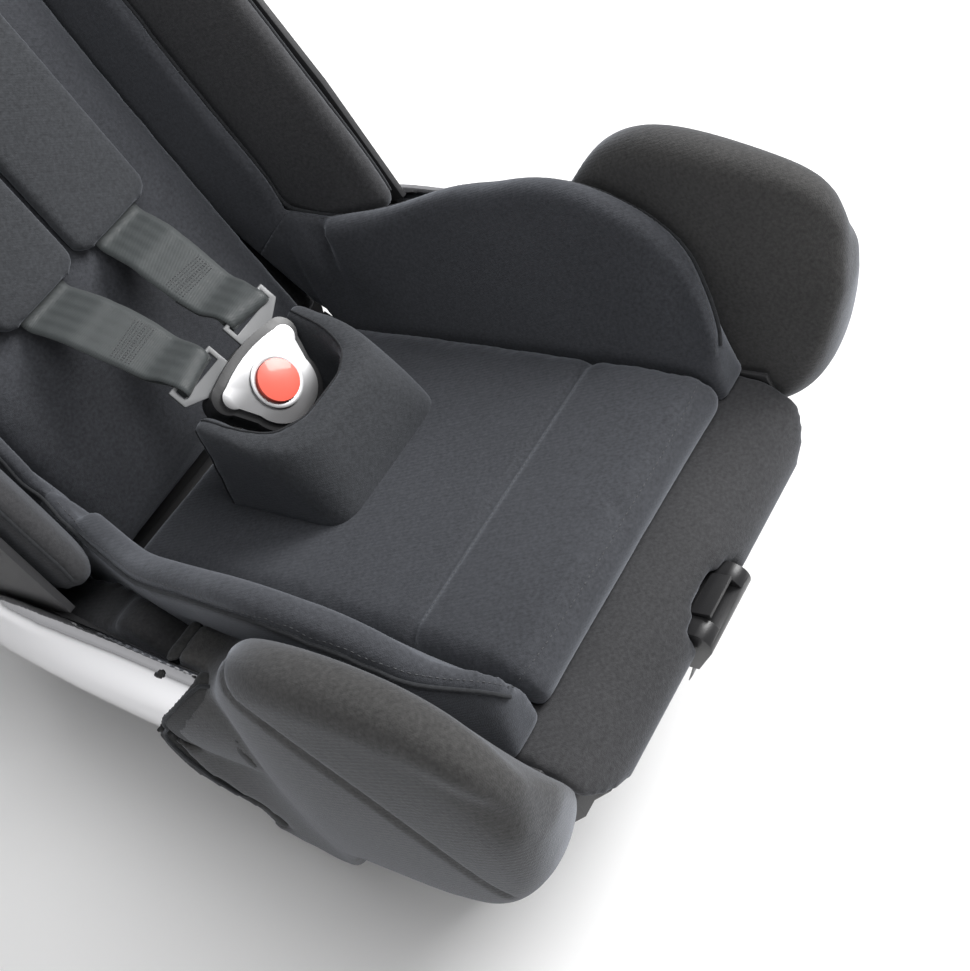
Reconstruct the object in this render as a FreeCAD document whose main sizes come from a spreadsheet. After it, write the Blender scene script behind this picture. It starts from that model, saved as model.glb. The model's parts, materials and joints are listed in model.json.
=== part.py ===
import FreeCAD, Part
import math
import os

# Convertible child car seat in its reclined pose, millimetres.
# Row frame: x across (child's left is +x), -y to the front, z up, floor at z = 0.
# The seat body is laid out in its own frame, whose z = 0 plane is the cushion top,
# and is then tipped and lifted onto the base by one placement.

os.makedirs("parts", exist_ok=True)
doc = FreeCAD.newDocument("car_seat")
V = FreeCAD.Vector

DRIVING = [
    ("seat_tilt_deg", 24.0),
    ("seat_origin_back", 100.0),
    ("seat_origin_up", 145.0),
    ("backrest_lean_deg", 15.0),
    ("bite_back", 52.0),
    ("recline_centre_back", 20.0),
    ("recline_centre_up", 490.0),
    ("cradle_radius", 452.5),
    ("track_thick", 2.0),
    ("runner_gap", 0.3),
    ("sole_thick", 4.2),
    ("base_half_width", 150.0),
    ("base_wall", 4.0),
    ("foot_thick", 6.0),
    ("pan_shell_width", 311.0),
    ("pan_shell_inner", 301.0),
    ("cushion_width", 248.0),
    ("cushion_thick", 27.5),
    ("cushion_crown", 5.0),
    ("cover_width", 311.0),
    ("webbing_width", 44.0),
    ("webbing_thick", 1.6),
    ("button_radius", 15.0),
    ("button_height", 8.0),
    ("ring_radius", 19.0),
    ("clamp_pin_radius", 2.0),
    ("clamp_pin_length", 64.0),
    ("recline_pin_radius", 4.0),
    ("recline_pin_length", 33.0),
    ("adjuster_pin_radius", 1.8),
    ("adjuster_pin_length", 52.0),
    ("fascia_width", 270.0),
    ("track_width", 30.0),
    ("track_offset", 105.0),
]
sheet = doc.addObject("Spreadsheet::Sheet", "Dimensions")
D = {}
for row, (alias, value) in enumerate(DRIVING, 1):
    sheet.set("A%d" % row, alias)
    sheet.set("B%d" % row, str(value))
    sheet.setAlias("B%d" % row, alias)
    D[alias] = value
DERIVED = [
    ("runner_radius", "cradle_radius - track_thick - runner_gap",
     D["cradle_radius"] - D["track_thick"] - D["runner_gap"]),
    ("shell_radius", "cradle_radius - track_thick - runner_gap - sole_thick",
     D["cradle_radius"] - D["track_thick"] - D["runner_gap"] - D["sole_thick"]),
    ("base_width", "2 * base_half_width", 2 * D["base_half_width"]),
    ("base_inner_width", "2 * (base_half_width - base_wall)",
     2 * (D["base_half_width"] - D["base_wall"])),
]
for row, (alias, formula, value) in enumerate(DERIVED, len(DRIVING) + 1):
    sheet.set("A%d" % row, alias)
    sheet.set("B%d" % row, "=" + formula)
    sheet.setAlias("B%d" % row, alias)
    D[alias] = value
doc.recompute()

TILT = math.radians(D["seat_tilt_deg"])
LEAN = math.radians(D["backrest_lean_deg"])
ORIGIN = V(0, D["seat_origin_back"], D["seat_origin_up"])
SEAT = FreeCAD.Placement(ORIGIN, FreeCAD.Rotation(V(1, 0, 0), -D["seat_tilt_deg"]))
FLOOR = FreeCAD.Placement()
SIDES = (("left", 1), ("right", -1))
GAP = 0.3

# Recline centre seen from the floor and from the seat body.
CB = D["recline_centre_back"]
CU = D["recline_centre_up"]
_back = CB - ORIGIN.y
_up = CU - ORIGIN.z
SB = _back * math.cos(TILT) - _up * math.sin(TILT)
SU = _back * math.sin(TILT) + _up * math.cos(TILT)


# Small helpers for outlines, prisms and lofts.
def yz(x):
    return lambda a, b: V(x, a, b)


def xz(y):
    return lambda a, b: V(a, y, b)


def xy(z):
    return lambda a, b: V(a, b, z)


def wire(plane, items):
    """Closed wire: two numbers are a line to a point, four an arc through one point."""
    here = plane(items[0][0], items[0][1])
    first = here
    edges = []
    for item in items[1:]:
        if len(item) == 4:
            end = plane(item[2], item[3])
            edges.append(Part.Arc(here, plane(item[0], item[1]), end).toShape())
        else:
            end = plane(item[0], item[1])
            edges.append(Part.makeLine(here, end))
        here = end
    if (here - first).Length > 0.001:
        edges.append(Part.makeLine(here, first))
    return Part.Wire(edges)


def prism(plane, items, vector):
    return Part.Face(wire(plane, items)).extrude(vector)


def slab(items, x_low, x_high):
    return prism(yz(x_low), items, V(x_high - x_low, 0, 0))


def box(x0, x1, y0, y1, z0, z1):
    return Part.makeBox(x1 - x0, y1 - y0, z1 - z0, V(x0, y0, z0))


def loft(wires, ruled=False):
    return Part.makeLoft(wires, True, ruled)


def flip(shape):
    return shape.mirror(V(0, 0, 0), V(1, 0, 0))


def side_of(shape, sign):
    return shape if sign > 0 else flip(shape)


def back_point(t, s):
    """Point t behind the backrest surface and s up along it, as (y, z)."""
    y = D["bite_back"] + s * math.sin(LEAN) + t * math.cos(LEAN)
    z = s * math.cos(LEAN) - t * math.sin(LEAN)
    return y, z


def back_plane(s):
    """Section plane across the backrest at height s: (x, t) to a point."""
    def place(x, t):
        y, z = back_point(t, s)
        return V(x, y, z)
    return place


def back_face(t):
    """Plane along the backrest at depth t: (x, s) to a point."""
    def place(x, s):
        y, z = back_point(t, s)
        return V(x, y, z)
    return place


DEEP = V(0, math.cos(LEAN), -math.sin(LEAN))
ALONG = V(0, math.sin(LEAN), math.cos(LEAN))


def back_plate(items, t0, t1):
    return prism(back_face(t0), items, DEEP * (t1 - t0))


def ribbon(path, thick):
    """Outline of a band of even thickness along a (y, z) path, mitred at its bends."""
    left, right = [], []
    for i, (y, z) in enumerate(path):
        a = path[max(i - 1, 0)]
        b = path[min(i + 1, len(path) - 1)]
        u = V(0, y - a[0], z - a[1])
        v = V(0, b[0] - y, b[1] - z)
        if u.Length < 1e-6:
            u = v
        if v.Length < 1e-6:
            v = u
        u.normalize()
        v.normalize()
        m = V(0, -(u.z + v.z), u.y + v.y)
        m.normalize()
        n = V(0, -u.z, u.y)
        reach = thick / 2.0 / max(m.dot(n), 0.35)
        left.append((y + m.y * reach, z + m.z * reach))
        right.append((y - m.y * reach, z - m.z * reach))
    return left + right[::-1]


def band(path, thick):
    """Webbing through (y, z, centre x, width) stations, mitred at its bends."""
    sections = []
    outline = ribbon([(a, b) for a, b, c, w in path], thick)
    count = len(path)
    for i, (y, z, cx, width) in enumerate(path):
        top, low = outline[i], outline[2 * count - 1 - i]
        corners = [V(cx - width / 2, top[0], top[1]), V(cx + width / 2, top[0], top[1]),
                   V(cx + width / 2, low[0], low[1]), V(cx - width / 2, low[0], low[1])]
        sections.append(Part.makePolygon(corners + corners[:1]))
    return loft(sections, True)


def crowned(shape, half, rise, front, low, high):
    """Trim a plate along the backrest so that its front bulges across its width."""
    radius = (half * half + rise * rise) / (2 * rise)
    y, z = back_point(radius + front, low)
    return shape.common(Part.makeCylinder(radius, high - low, V(0, y, z), ALONG))


def arc_strip(cy, cz, r_in, r_out, deg0, deg1):
    """Outline of a curved strip, angles measured from straight down, + to the back."""
    def at(r, deg):
        a = math.radians(deg)
        return cy + r * math.sin(a), cz - r * math.cos(a)
    mid = (deg0 + deg1) / 2.0
    return [at(r_in, deg0), at(r_in, mid) + at(r_in, deg1), at(r_out, deg1),
            at(r_out, mid) + at(r_out, deg0)]


NODES = {}


def feature(label, shape, placement=SEAT):
    """A sub-part whose solid is set with Part functions."""
    if shape.ShapeType == "Compound" and len(shape.Solids) == 1:
        shape = shape.Solids[0]
    obj = doc.addObject("Part::Feature", label)
    obj.Label = label
    obj.Shape = shape
    obj.Placement = placement
    NODES[label] = obj
    return obj


def origin_plane(body, role):
    for item in body.Origin.OriginFeatures:
        if item.Role == role:
            return item
    return None


def sketch_on(body, role, outlines, shift=0.0, circles=()):
    sk = body.newObject("Sketcher::SketchObject", "Outline")
    sk.AttachmentSupport = [(origin_plane(body, role), "")]
    sk.MapMode = "FlatFace"
    sk.AttachmentOffset = FreeCAD.Placement(V(0, 0, shift), FreeCAD.Rotation())
    for items in outlines:
        here = V(items[0][0], items[0][1], 0)
        first = here
        for item in items[1:]:
            end = V(item[-2], item[-1], 0)
            if len(item) == 4:
                mid = V(item[0], item[1], 0)
                sk.addGeometry(Part.Arc(here, mid, end), False)
            else:
                sk.addGeometry(Part.LineSegment(here, end), False)
            here = end
        if (here - first).Length > 0.001:
            sk.addGeometry(Part.LineSegment(here, first), False)
    for cx, cy, r in circles:
        sk.addGeometry(Part.Circle(V(cx, cy, 0), V(0, 0, 1), r), False)
    return sk


def new_body(label, placement=SEAT):
    body = doc.addObject("PartDesign::Body", label)
    body.Label = label
    body.Placement = placement
    NODES[label] = body
    return body


def pad(body, sk, alias, symmetric=True):
    item = body.newObject("PartDesign::Pad", "Pad")
    item.Profile = sk
    item.Length = D[alias]
    item.setExpression("Length", "Dimensions." + alias)
    if symmetric:
        item.SideType = "Symmetric"
    sk.Visibility = False
    return item


def cut_pocket(body, sk, length, symmetric=True, alias=None):
    item = body.newObject("PartDesign::Pocket", "Pocket")
    item.Profile = sk
    item.Length = length
    if alias:
        item.setExpression("Length", "Dimensions." + alias)
    if symmetric:
        item.SideType = "Symmetric"
    sk.Visibility = False
    return item


def circle_z(y, radius, centre_back=SB, centre_up=SU):
    """Height of the recline circle of this radius at y."""
    return centre_up - math.sqrt(radius * radius - (y - centre_back) ** 2)


# Base
base = new_body("base_shell", FLOOR)
BF, BR = -190.0, 230.0
RC = D["cradle_radius"]
RI = RC + D["base_wall"]
BW = D["base_wall"]
BH = D["base_half_width"]


def base_z(y, r):
    return circle_z(y, r, CB, CU)


FT = D["foot_thick"]
outer = [(BF + 14, FT), (BR - 14, FT), (BR - 4, FT + 4, BR, FT + 14), (BR, base_z(BR, RC)),
         (CB, CU - RC, BF, base_z(BF, RC)), (BF, FT + 14), (BF + 4, FT + 4, BF + 14, FT)]
pad(base, sketch_on(base, "YZ_Plane", [outer]), "base_width")
IF, IR = BF + BW, BR - BW
inner = [(IF, -2), (IR, -2), (IR, base_z(IR, RI)), (CB, CU - RI, IF, base_z(IF, RI))]
cut_pocket(base, sketch_on(base, "YZ_Plane", [inner]), 0, True, "base_inner_width")
BOSS_X, BOSS_F, BOSS_R = 132.0, -168.0, 208.0
bosses = [(sx * BOSS_X, y, 16.0) for sx in (1, -1) for y in (BOSS_F, BOSS_R)]
boss = base.newObject("PartDesign::Pad", "Bosses")
boss.Profile = sketch_on(base, "XY_Plane", [], FT, bosses)
boss.Length = 62.0
ears = [[(y, 17), (y + 6, 17), (y + 6, 31), (y, 31)] for y in (148.0, 206.0)]
ear = base.newObject("PartDesign::Pad", "Ears")
ear.Profile = sketch_on(base, "YZ_Plane", ears)
ear.Length = 2 * (BH + 12.0)
ear.SideType = "Symmetric"
doc.recompute()
PIN_X, PIN_Z = BH + 6.0, 24.0
base_solid = base.Shape.copy()

# The guide slot, the rack window and the pin bores go through the moulding.
rib = box(-BH + 1, BH - 1, -12, 12, FT, FT + 10)
base_solid = base_solid.fuse(rib).removeSplitter()
slot = slab(arc_strip(CB, CU, RC - 5, RI + 5, -8.2, 12.6), -8.0, 8.0)
belt_window = box(-170, 170, 158, 190, 32, 52)
window = slab(arc_strip(CB, CU, RC - 5, RI + 5, -25.6, -7.2), 33.0, 47.0)
hollow = box(-BH + BW, BH - BW, 140, 215, 10, 40)
for tool in (slot, window, hollow, belt_window):
    base_solid = base_solid.cut(tool)
for sign in (1, -1):
    bore = Part.makeCylinder(2.3, 80, V(sign * PIN_X, 140, PIN_Z), V(0, 1, 0))
    spare = box(min(sign * (BH + 0.01), sign * 170), max(sign * (BH + 0.01), sign * 170),
                154.2, 205.8, 10, 60)
    base_solid = base_solid.cut(bore).cut(spare)
doc.removeObject(ear.Name)
BASE_RAW = base_solid
NODES.pop("base_shell")
base.Label = "base_blank"
feature("base_shell", base_solid, FLOOR)

for name, sign in SIDES:
    x0 = D["track_offset"] - D["track_width"] / 2
    strip = slab(arc_strip(CB, CU, RC - D["track_thick"], RC, -27.0, 27.0),
                 x0, x0 + D["track_width"])
    feature("track_" + name, side_of(strip, sign), FLOOR)
    sole = slab(arc_strip(SB, SU, D["shell_radius"], D["runner_radius"], -5.8, 38.0),
                x0 + 2, x0 + D["track_width"] - 2)
    feature("runner_" + name, side_of(sole, sign))
    hub = Part.makeCylinder(5.4, 51.0, V(PIN_X, 154.5, PIN_Z), V(0, 1, 0))
    leaf = box(PIN_X - 5.2, PIN_X - 0.6, 154.5, 205.5, PIN_Z, 60.0)
    lip = box(PIN_X - 5.2, PIN_X + 6.0, 162.0, 198.0, 56.0, 60.0)
    clamp = hub.fuse(leaf).fuse(lip).removeSplitter()
    clamp = clamp.cut(Part.makeCylinder(2.3, 60, V(PIN_X, 150, PIN_Z), V(0, 1, 0)))
    feature("belt_clamp_" + name, side_of(clamp, sign), FLOOR)
    pin = doc.addObject("Part::Cylinder", "belt_clamp_pin_" + name)
    pin.Label = "belt_clamp_pin_" + name
    pin.setExpression("Radius", "Dimensions.clamp_pin_radius")
    pin.setExpression("Height", "Dimensions.clamp_pin_length")
    pin.Placement = FreeCAD.Placement(V(sign * PIN_X, 148, PIN_Z),
                                      FreeCAD.Rotation(V(1, 0, 0), -90))
    NODES[pin.Label] = pin

strip = prism(xy(0), [(118, BF + 16), (142, BF + 16), (146, BF + 20), (146, BR - 20),
                      (142, BR - 16), (118, BR - 16)], V(0, 0, FT))
tie = box(-BH + 8, BH - 8, -12, 12, 0, FT)
feature("base_foot", strip.fuse([flip(strip), tie]).removeSplitter(), FLOOR)

rack = slab(arc_strip(CB, CU, RC - 2.2, RC, -26.6, -6.2), 28.0, 52.0)
rack = rack.cut(slab(arc_strip(CB, CU, RC - 6, RC + 4, -25.0, -8.0), 40 - 5.0, 40 + 5.0))
feature("recline_rack", rack, FLOOR)

# Moulded seat pan
RS = D["shell_radius"]
pan = new_body("seat_shell_pan")
zf = circle_z(-264, RS)
outer = [(-316, -46), (-326, -50, -330, -60), (-330, -76), (-280, -134), (-275, -146, -264, zf),
         (-140, circle_z(-140, RS), 84, circle_z(84, RS)), (92, -46)]
pad(pan, sketch_on(pan, "YZ_Plane", [outer]), "pan_shell_width")
RH = RS - 4.5
zi = circle_z(-258, RH)
inner = [(-325, -51), (-325, -77), (-275.5, -135), (-270, zi + 4, -258, zi),
         (-140, circle_z(-140, RH), 50, circle_z(50, RH)), (50, -51)]
cut_pocket(pan, sketch_on(pan, "YZ_Plane", [inner]), 0, True, "pan_shell_inner")
doc.recompute()
pan_solid = pan.Shape.copy()
pan_solid.Placement = FreeCAD.Placement()
GRIP_TOP, GRIP_LOW = -112.0, -136.0
PIN_Y = SB
SLOT_Y = -76.0
HW = D["webbing_width"] / 2
openings = [
    box(-60, 60, -340, -268, GRIP_LOW, GRIP_TOP),
    box(-21, 21, SLOT_Y - 4, SLOT_Y + 4, -60, -40),
    box(-HW - 1, HW + 1, 40, 100, -66, -49),
    box(-HW - 1, HW + 1, 80, 100, -66, -45),
    box(-HW - 1, HW + 1, -340, -320, -71, -61),
    Part.makeCylinder(4.3, 30, V(40, PIN_Y, SU - RS - 10), V(0, 0, 1)),
]
for tool in openings:
    pan_solid = pan_solid.cut(tool)
NODES.pop("seat_shell_pan")
pan.Label = "pan_blank"
feature("seat_shell_pan", pan_solid)

# The guide hangs from the pan through the base slot and hooks under the base top.
G0, G1 = 15.2, 21.0
stem = slab(arc_strip(SB, SU, RS - 7, RI + 2, G0 + 1, G1 - 1), -6.6, 6.6)
foot = slab(arc_strip(SB, SU, RI + 0.5, RI + 4.5, G0 - 1, G1 + 1), -20, 20)
cap = slab(arc_strip(SB, SU, RS - 9.0, RS - 4.7, G0 - 0.5, G1 + 0.5), -16, 16)
guide = stem.fuse(foot).fuse(cap).removeSplitter()
feature("recline_guide", guide)
hole = slab(arc_strip(SB, SU, RS - 12, RS + 4, G0 + 0.9, G1 - 0.9), -7, 7)
NODES["seat_shell_pan"].Shape = pan_solid.cut(hole)
NODES["seat_shell_pan"].Placement = SEAT

pin = doc.addObject("Part::Cylinder", "recline_pin")
pin.Label = "recline_pin"
pin.setExpression("Radius", "Dimensions.recline_pin_radius")
pin.setExpression("Height", "Dimensions.recline_pin_length")
pin.Placement = SEAT.multiply(FreeCAD.Placement(V(40, PIN_Y, SU - 455.4), FreeCAD.Rotation()))
NODES["recline_pin"] = pin

# Recline handle: a grip bar in the front window and two flat rods that run back.
grip_profile = [(-294, -130), (-294, -120), (-291, -117, -287, -116), (-276, -116),
                (-276, -132), (-287, -133), (-292, -133, -294, -130)]
grip = slab(grip_profile, -52, 52)
for x in (-46, 38):
    grip = grip.fuse(box(x, x + 8, -277, -204, -128, -120))
handle = grip.fuse(box(-46, 52, -226, -186, -128, -120))
handle = handle.cut(box(35, 45, PIN_Y - 5, PIN_Y + 20.5, -150, -100))
feature("recline_handle", handle.removeSplitter())

# Side frames between the pan and the arm sleeves
for name, sign in SIDES:
    plate = slab([(-318, -29), (62, -29), (70, -40), (62, circle_z(62, RS - 6)),
                  (-140, circle_z(-140, RS - 6), -270, circle_z(-270, RS - 6)),
                  (-322, -76), (-322, -60)], 156.0, 159.6)
    feature("side_frame_" + name, side_of(plate, sign))

# Front trim under the hem
fascia = new_body("front_fascia")
shape = [(-330.5, -76.3), (-334.8, -76.3), (-335.3, -79), (-284.6, -138), (-280.5, -134.5)]
pad(fascia, sketch_on(fascia, "YZ_Plane", [shape]), "fascia_width")
win = sketch_on(fascia, "XZ_Plane", [[(-60, GRIP_LOW), (60, GRIP_LOW), (60, GRIP_TOP),
                                      (-60, GRIP_TOP)]])
cut = fascia.newObject("PartDesign::Pocket", "Window")
cut.Profile = win
cut.Length = 700.0
cut.SideType = "Symmetric"
doc.recompute()
fascia_solid = fascia.Shape.copy()
fascia_solid.Placement = FreeCAD.Placement()
NODES.pop("front_fascia")
fascia.Label = "fascia_blank"
feature("front_fascia", fascia_solid.cut(box(-32, 28, -345, -300, -100, -70)))

# Outer cover of the pan, rolled over the front edge, with a notch for the adjuster
cover_outline = [(44, -45.6), (44, -28), (-298, -28), (-330, -40, -345, -66), (-344.4, -75.6),
                 (-330.9, -75.6), (-330.4, -60), (-326.4, -49.6, -316, -45.6)]
cover = slab(cover_outline, -155.5, 155.5)
cover = cover.cut(box(-31.6, 30, -352, -325, -80, -58))
cover = cover.cut(box(-18, 16, -352, -334, -60, -50))
for sign in (1, -1):
    rise = prism(xz(-360), [(sign * 100, -90), (sign * 170, -90), (sign * 170, -34),
                            (sign * 132, -72, sign * 100, -90)], V(0, 42, 0))
    cover = cover.cut(rise)
cover = cover.cut(box(-21, 21, SLOT_Y - 4, SLOT_Y + 4, -60, -20))
feature("seat_cover", cover)

# Insert cushion with a crowned top, a rounded front and one cross seam
CT = D["cushion_thick"]
CC = D["cushion_crown"]
cushion = new_body("insert_seat_cushion")
cushion_outline = [(46, -CT), (48, -2), (-122, CC, -298, -1), (-305, -10, -301, -CT)]
pad(cushion, sketch_on(cushion, "YZ_Plane", [cushion_outline]), "cushion_width")
groove_z = 4.6
cut_pocket(cushion, sketch_on(cushion, "YZ_Plane", [], 0, [(-213, groove_z, 2.6)]), 400)
doc.recompute()
seat_slot = box(-21, 21, SLOT_Y - 4, SLOT_Y + 4, -40, 20)
cushion_solid = cushion.Shape.copy()
cushion_solid.Placement = FreeCAD.Placement()
cushion_solid = cushion_solid.cut(seat_slot)
NODES.pop("insert_seat_cushion")
cushion.Label = "cushion_blank"
feature("insert_seat_cushion", cushion_solid)

# Insert side bolsters: top piping height and flare along the seat
PIPING = [(-302.5, 16, 140), (-300, 30, 148), (-292, 44, 158), (-280, 60, 170), (-262, 79, 181),
          (-237, 93, 188), (-200, 104, 190), (-150, 103, 188), (-107, 97, 183),
          (-71, 89, 176), (-31, 83, 165), (4, 82, 155)]


def bolster(grow=0.0):
    wires = []
    for y, h, x in PIPING:
        lean = 158.4 + grow + max(h - 16.0, 0) * 0.28
        edge = min(x, lean) + 0.0
        top_in = edge - min(22.0, 8.0 + h * 0.15) + 4
        wires.append(wire(xz(y), [
            (126.4 - grow, -CT), (126.4 - grow, 0),
            (134.0 + (top_in - 134) * 0.42 - 3, h * 0.47, top_in - 4, h - 5),
            (edge - 3, h + 2.5 + grow, edge + grow, h - 6),
            (158.4 + grow, -CT)]))
    return loft(wires)


BOLSTER = bolster()
BOLSTER_CUT = bolster(GAP + 0.1)
for name, sign in SIDES:
    feature("insert_bolster_" + name, side_of(BOLSTER, sign))

# Backrest insert and its wings
back_insert = back_plate([(-124, 2), (124, 2), (124, 340), (118, 362, 96, 368), (-96, 368),
                          (-118, 362, -124, 340)], -6.0, 26.0)
back_insert = crowned(back_insert, 124.0, 6.0, -6.0, -40, 400)
back_insert = back_insert.cut(Part.makeBox(600, 200, 200, V(-300, -100, -200)))
back_insert = back_insert.cut(box(-300, 300, -400, 48.6, -50, 60))
for x in (-40.0, 40.0):
    cutter = back_plate([(x - 25, 340), (x + 25, 340), (x + 25, 357), (x - 25, 357)], -8, 60)
    back_insert = back_insert.cut(cutter)
feature("insert_back_cushion", back_insert)

WING_S = [(95, 36, 146), (120, 41, 146), (160, 42, 145), (240, 40, 146), (320, 30, 148),
          (366, 14, 148)]


def insert_wing(grow=0.0):
    wires = []
    for s, d, x in WING_S:
        wires.append(wire(back_plane(s), [
            (126.4 - grow, 26 + grow), (126.4 - grow, 4),
            (132 - grow, -d * 0.5, x - 11, -d + 3),
            (x - 5, -d - 2 - grow, x + grow, -d + 5),
            (151.0 + grow, 26 + grow)]))
    return loft(wires)


IWING = insert_wing()
IWING_CUT = insert_wing(GAP)
lower = loft([wire(xz(4.4), [(126.4, -CT), (126.4, 0), (136, 39, 147, 77), (152, 84.5, 155, 76),
                             (158.4, -CT)]),
              wire(xz(34), [(126.4, -CT), (126.4, 0), (128, 46, 137, 92), (141, 97, 146, 90),
                            (158.4, -CT)])])
for name, sign in SIDES:
    feature("insert_wing_" + name, side_of(IWING.cut(lower), sign))
    join = lower.cut(box(120, 165, 33.5, 80, -60, 200))
    piece = NODES["insert_bolster_" + name]
    both = BOLSTER.fuse(lower.translated(V(0, -0.4, 0))).removeSplitter()
    piece.Shape = side_of(both, sign)
    piece.Placement = SEAT

# Outer cover: back, torso wings and side panels
SLOT_S = 352.0
back_cover = back_plate([(-151.5, -6), (151.5, -6), (151.5, 372), (-151.5, 372)], 26.4, 38.0)
for x in (-40.0, 40.0):
    back_cover = back_cover.cut(back_plate([(x - 25, 347), (x + 25, 347), (x + 25, 357),
                                            (x - 25, 357)], 20, 60))
back_cover = back_cover.cut(box(-200, 200, 0, 200, -60, -12))
feature("back_cover", back_cover)

TORSO = [(52, 96, 180), (80, 100, 180), (150, 100, 180), (240, 97, 181), (320, 84, 182),
         (372, 58, 184)]


def torso_wing():
    wires = []
    for s, d, x in TORSO:
        wires.append(wire(back_plane(s), [
            (152.0, 38), (152.0, -20), (157, -d * 0.62, x - 9, -d + 3),
            (x - 1, -d - 4, x + 8, -d + 4),
            (x + 14, -d * 0.45, 195.6, 20), (195.6, 38)]))
    return loft(wires)


TWING = torso_wing().cut(BOLSTER_CUT).cut(IWING_CUT)
LOWER_CUT = lower.translated(V(0, -0.2, 0))
TWING = TWING.cut(LOWER_CUT).common(box(100, 195.6, -400, 400, -100, 700))
for name, sign in SIDES:
    feature("wing_cover_" + name, side_of(TWING, sign))

panel = slab([(-92, -28.4), (-104, 10, -86, 44), (-70, 58, -44, 50), (66, 27), (66, -28.4)],
             160.0, 195.6)
panel = panel.cut(BOLSTER_CUT).cut(torso_wing()).cut(LOWER_CUT)

# Moulded backrest shell: plate, side walls and top
plate = back_plate([(-155.5, -20), (155.5, -20), (201, 60), (201, 380),
                    (196, 440, 150, 494), (110, 512, 70, 514), (-70, 514),
                    (-110, 512, -150, 494), (-196, 440, -201, 380), (-201, 60)], 38.4, 44.0)


def wall_outline():
    pts = [(-92, 46), (-96, 150), (-92, 240), (-78, 320), (-52, 380), (38.5, 400), (38.5, 46)]
    return [back_point(t, s) for t, s in pts]


wall = slab(wall_outline(), 196.0, 201.0)
foot = slab([(62, -45.8), (84, -45.8), (86, -30), (80, -24), (66, -36)], -155.5, 155.5)
ledge = box(159.9, 201, -82, 66, -33, -28.8)
skirt = slab([back_point(40, 40), back_point(40, 110), (-60, 40), (-88, -30), (60, -30)],
             196.0, 201.0)
rail = back_plate([(84, 378), (98, 378), (98, 500), (84, 500)], 34.6, 39.0)
pieces = [wall, flip(wall), skirt, flip(skirt), rail, flip(rail), foot, ledge, flip(ledge)]
shell = plate.fuse(pieces).removeSplitter()
for x in (-40.0, 40.0):
    shell = shell.cut(back_plate([(x - 25, 347), (x + 25, 347), (x + 25, 357),
                                  (x - 25, 357)], 20, 60))
shell = shell.cut(box(-300, 300, 60, 96, -80, -45.8))
feature("seat_shell_back", shell)

# Padded arm sleeves, their cuffs and the bright bows
ARM = [(-371, 22, 60, 188, 216), (-360, -14, 86, 173, 226), (-335, -58, 104, 163, 231),
       (-285, -78, 120, 160.4, 235), (-215, -84, 117, 160.4, 236), (-80, -84, 98, 160.4, 236)]


def arm_loft(shrink=0.0):
    wires = []
    for y, z0, z1, x0, x1 in ARM:
        x0, x1, z0, z1 = x0 + shrink, x1 - shrink, z0 + shrink, z1 - shrink
        mid = (z0 + z1) / 2.0
        up = min(18.0, (z1 - z0) * 0.3)
        lean = min(32.0, max(z1, 0) * 0.3)
        xt = min(x0 + lean, x1 - 18)
        wires.append(wire(xz(y), [
            (x0, z0 + up), (xt, z1 - up * 0.8),
            ((xt + x1 - 8) / 2, z1, x1 - 8, z1 - up),
            (x1, mid, x1 - 4, z0 + up),
            ((x0 + x1) / 2, z0, x0, z0 + up)]))
    return loft(wires)


RING = [(-183, 104), (-93, 24), (-111, -82)]
ARM_FULL = arm_loft().cut(BOLSTER_CUT).cut(box(60, 160.3, -400, 300, -200, 200))


def behind(shift):
    (y0, z0), (y1, z1), (y2, z2) = RING
    return slab([(y0 + shift - 14, z0 + 30), (y0 + shift, z0), (y1 + shift, z1, y2 + shift, z2),
                 (y2 + shift, z2 - 30), (300, z2 - 30), (300, z0 + 30)], 100, 300)


CHROME = [(-172, -30, 56, 203, 227), (-130, -30, 62, 203, 228), (-90, -26, 66, 203, 229),
          (-50, -18, 69, 203, 229.5), (-10, -6, 70, 203, 229.5), (30, 4, 68, 202, 228),
          (70, 10, 62, 201.4, 224), (100, 16, 54, 201.4, 218)]


def chrome_loft(grow=0.0):
    wires = []
    for y, z0, z1, x0, x1 in CHROME:
        x0, x1, z0, z1 = x0 - grow, x1 + grow, z0 - grow, z1 + grow
        y = y - 2 * grow if not wires else y
        mid = (z0 + z1) / 2.0
        wires.append(wire(xz(y), [
            (x0, z0 + 5), (x0, z1 - 5), (x0 + 2, z1, x0 + 8, z1),
            (x1, mid, x0 + 8, z0), (x0 + 2, z0, x0, z0 + 5)]))
    return loft(wires)


BOW = chrome_loft()
HOLE = chrome_loft(1.6)
sleeve = ARM_FULL.cut(behind(-7.4)).cut(HOLE)
sleeve = max(sleeve.Solids, key=lambda item: item.Volume)
cuff = ARM_FULL.cut(behind(0)).common(behind(-7.0)).cut(chrome_loft(0.3))
cuff = max(cuff.Solids, key=lambda item: item.Volume)
panel = panel.common(behind(1.0))
keep = max(panel.Solids, key=lambda item: item.Volume)
for name, sign in SIDES:
    feature("side_cover_" + name, side_of(keep, sign))
    feature("armrest_pad_" + name, side_of(sleeve, sign))
    feature("armrest_cuff_" + name, side_of(cuff, sign))
    feature("chrome_arm_" + name, side_of(BOW, sign))

# Buckle frame: v runs up along the buckle, w out of its face
LB = math.radians(33.0)
BY, BZ = -50.0, 77.0
UB = V(0, math.sin(LB), math.cos(LB))
WB = V(0, -math.cos(LB), math.sin(LB))


def buckle_plane(w):
    def place(x, v):
        return V(x, BY, BZ) + UB * v + WB * w
    return place


def buckle_plate(items, w0, w1):
    return prism(buckle_plane(w0), items, WB * (w1 - w0))


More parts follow.
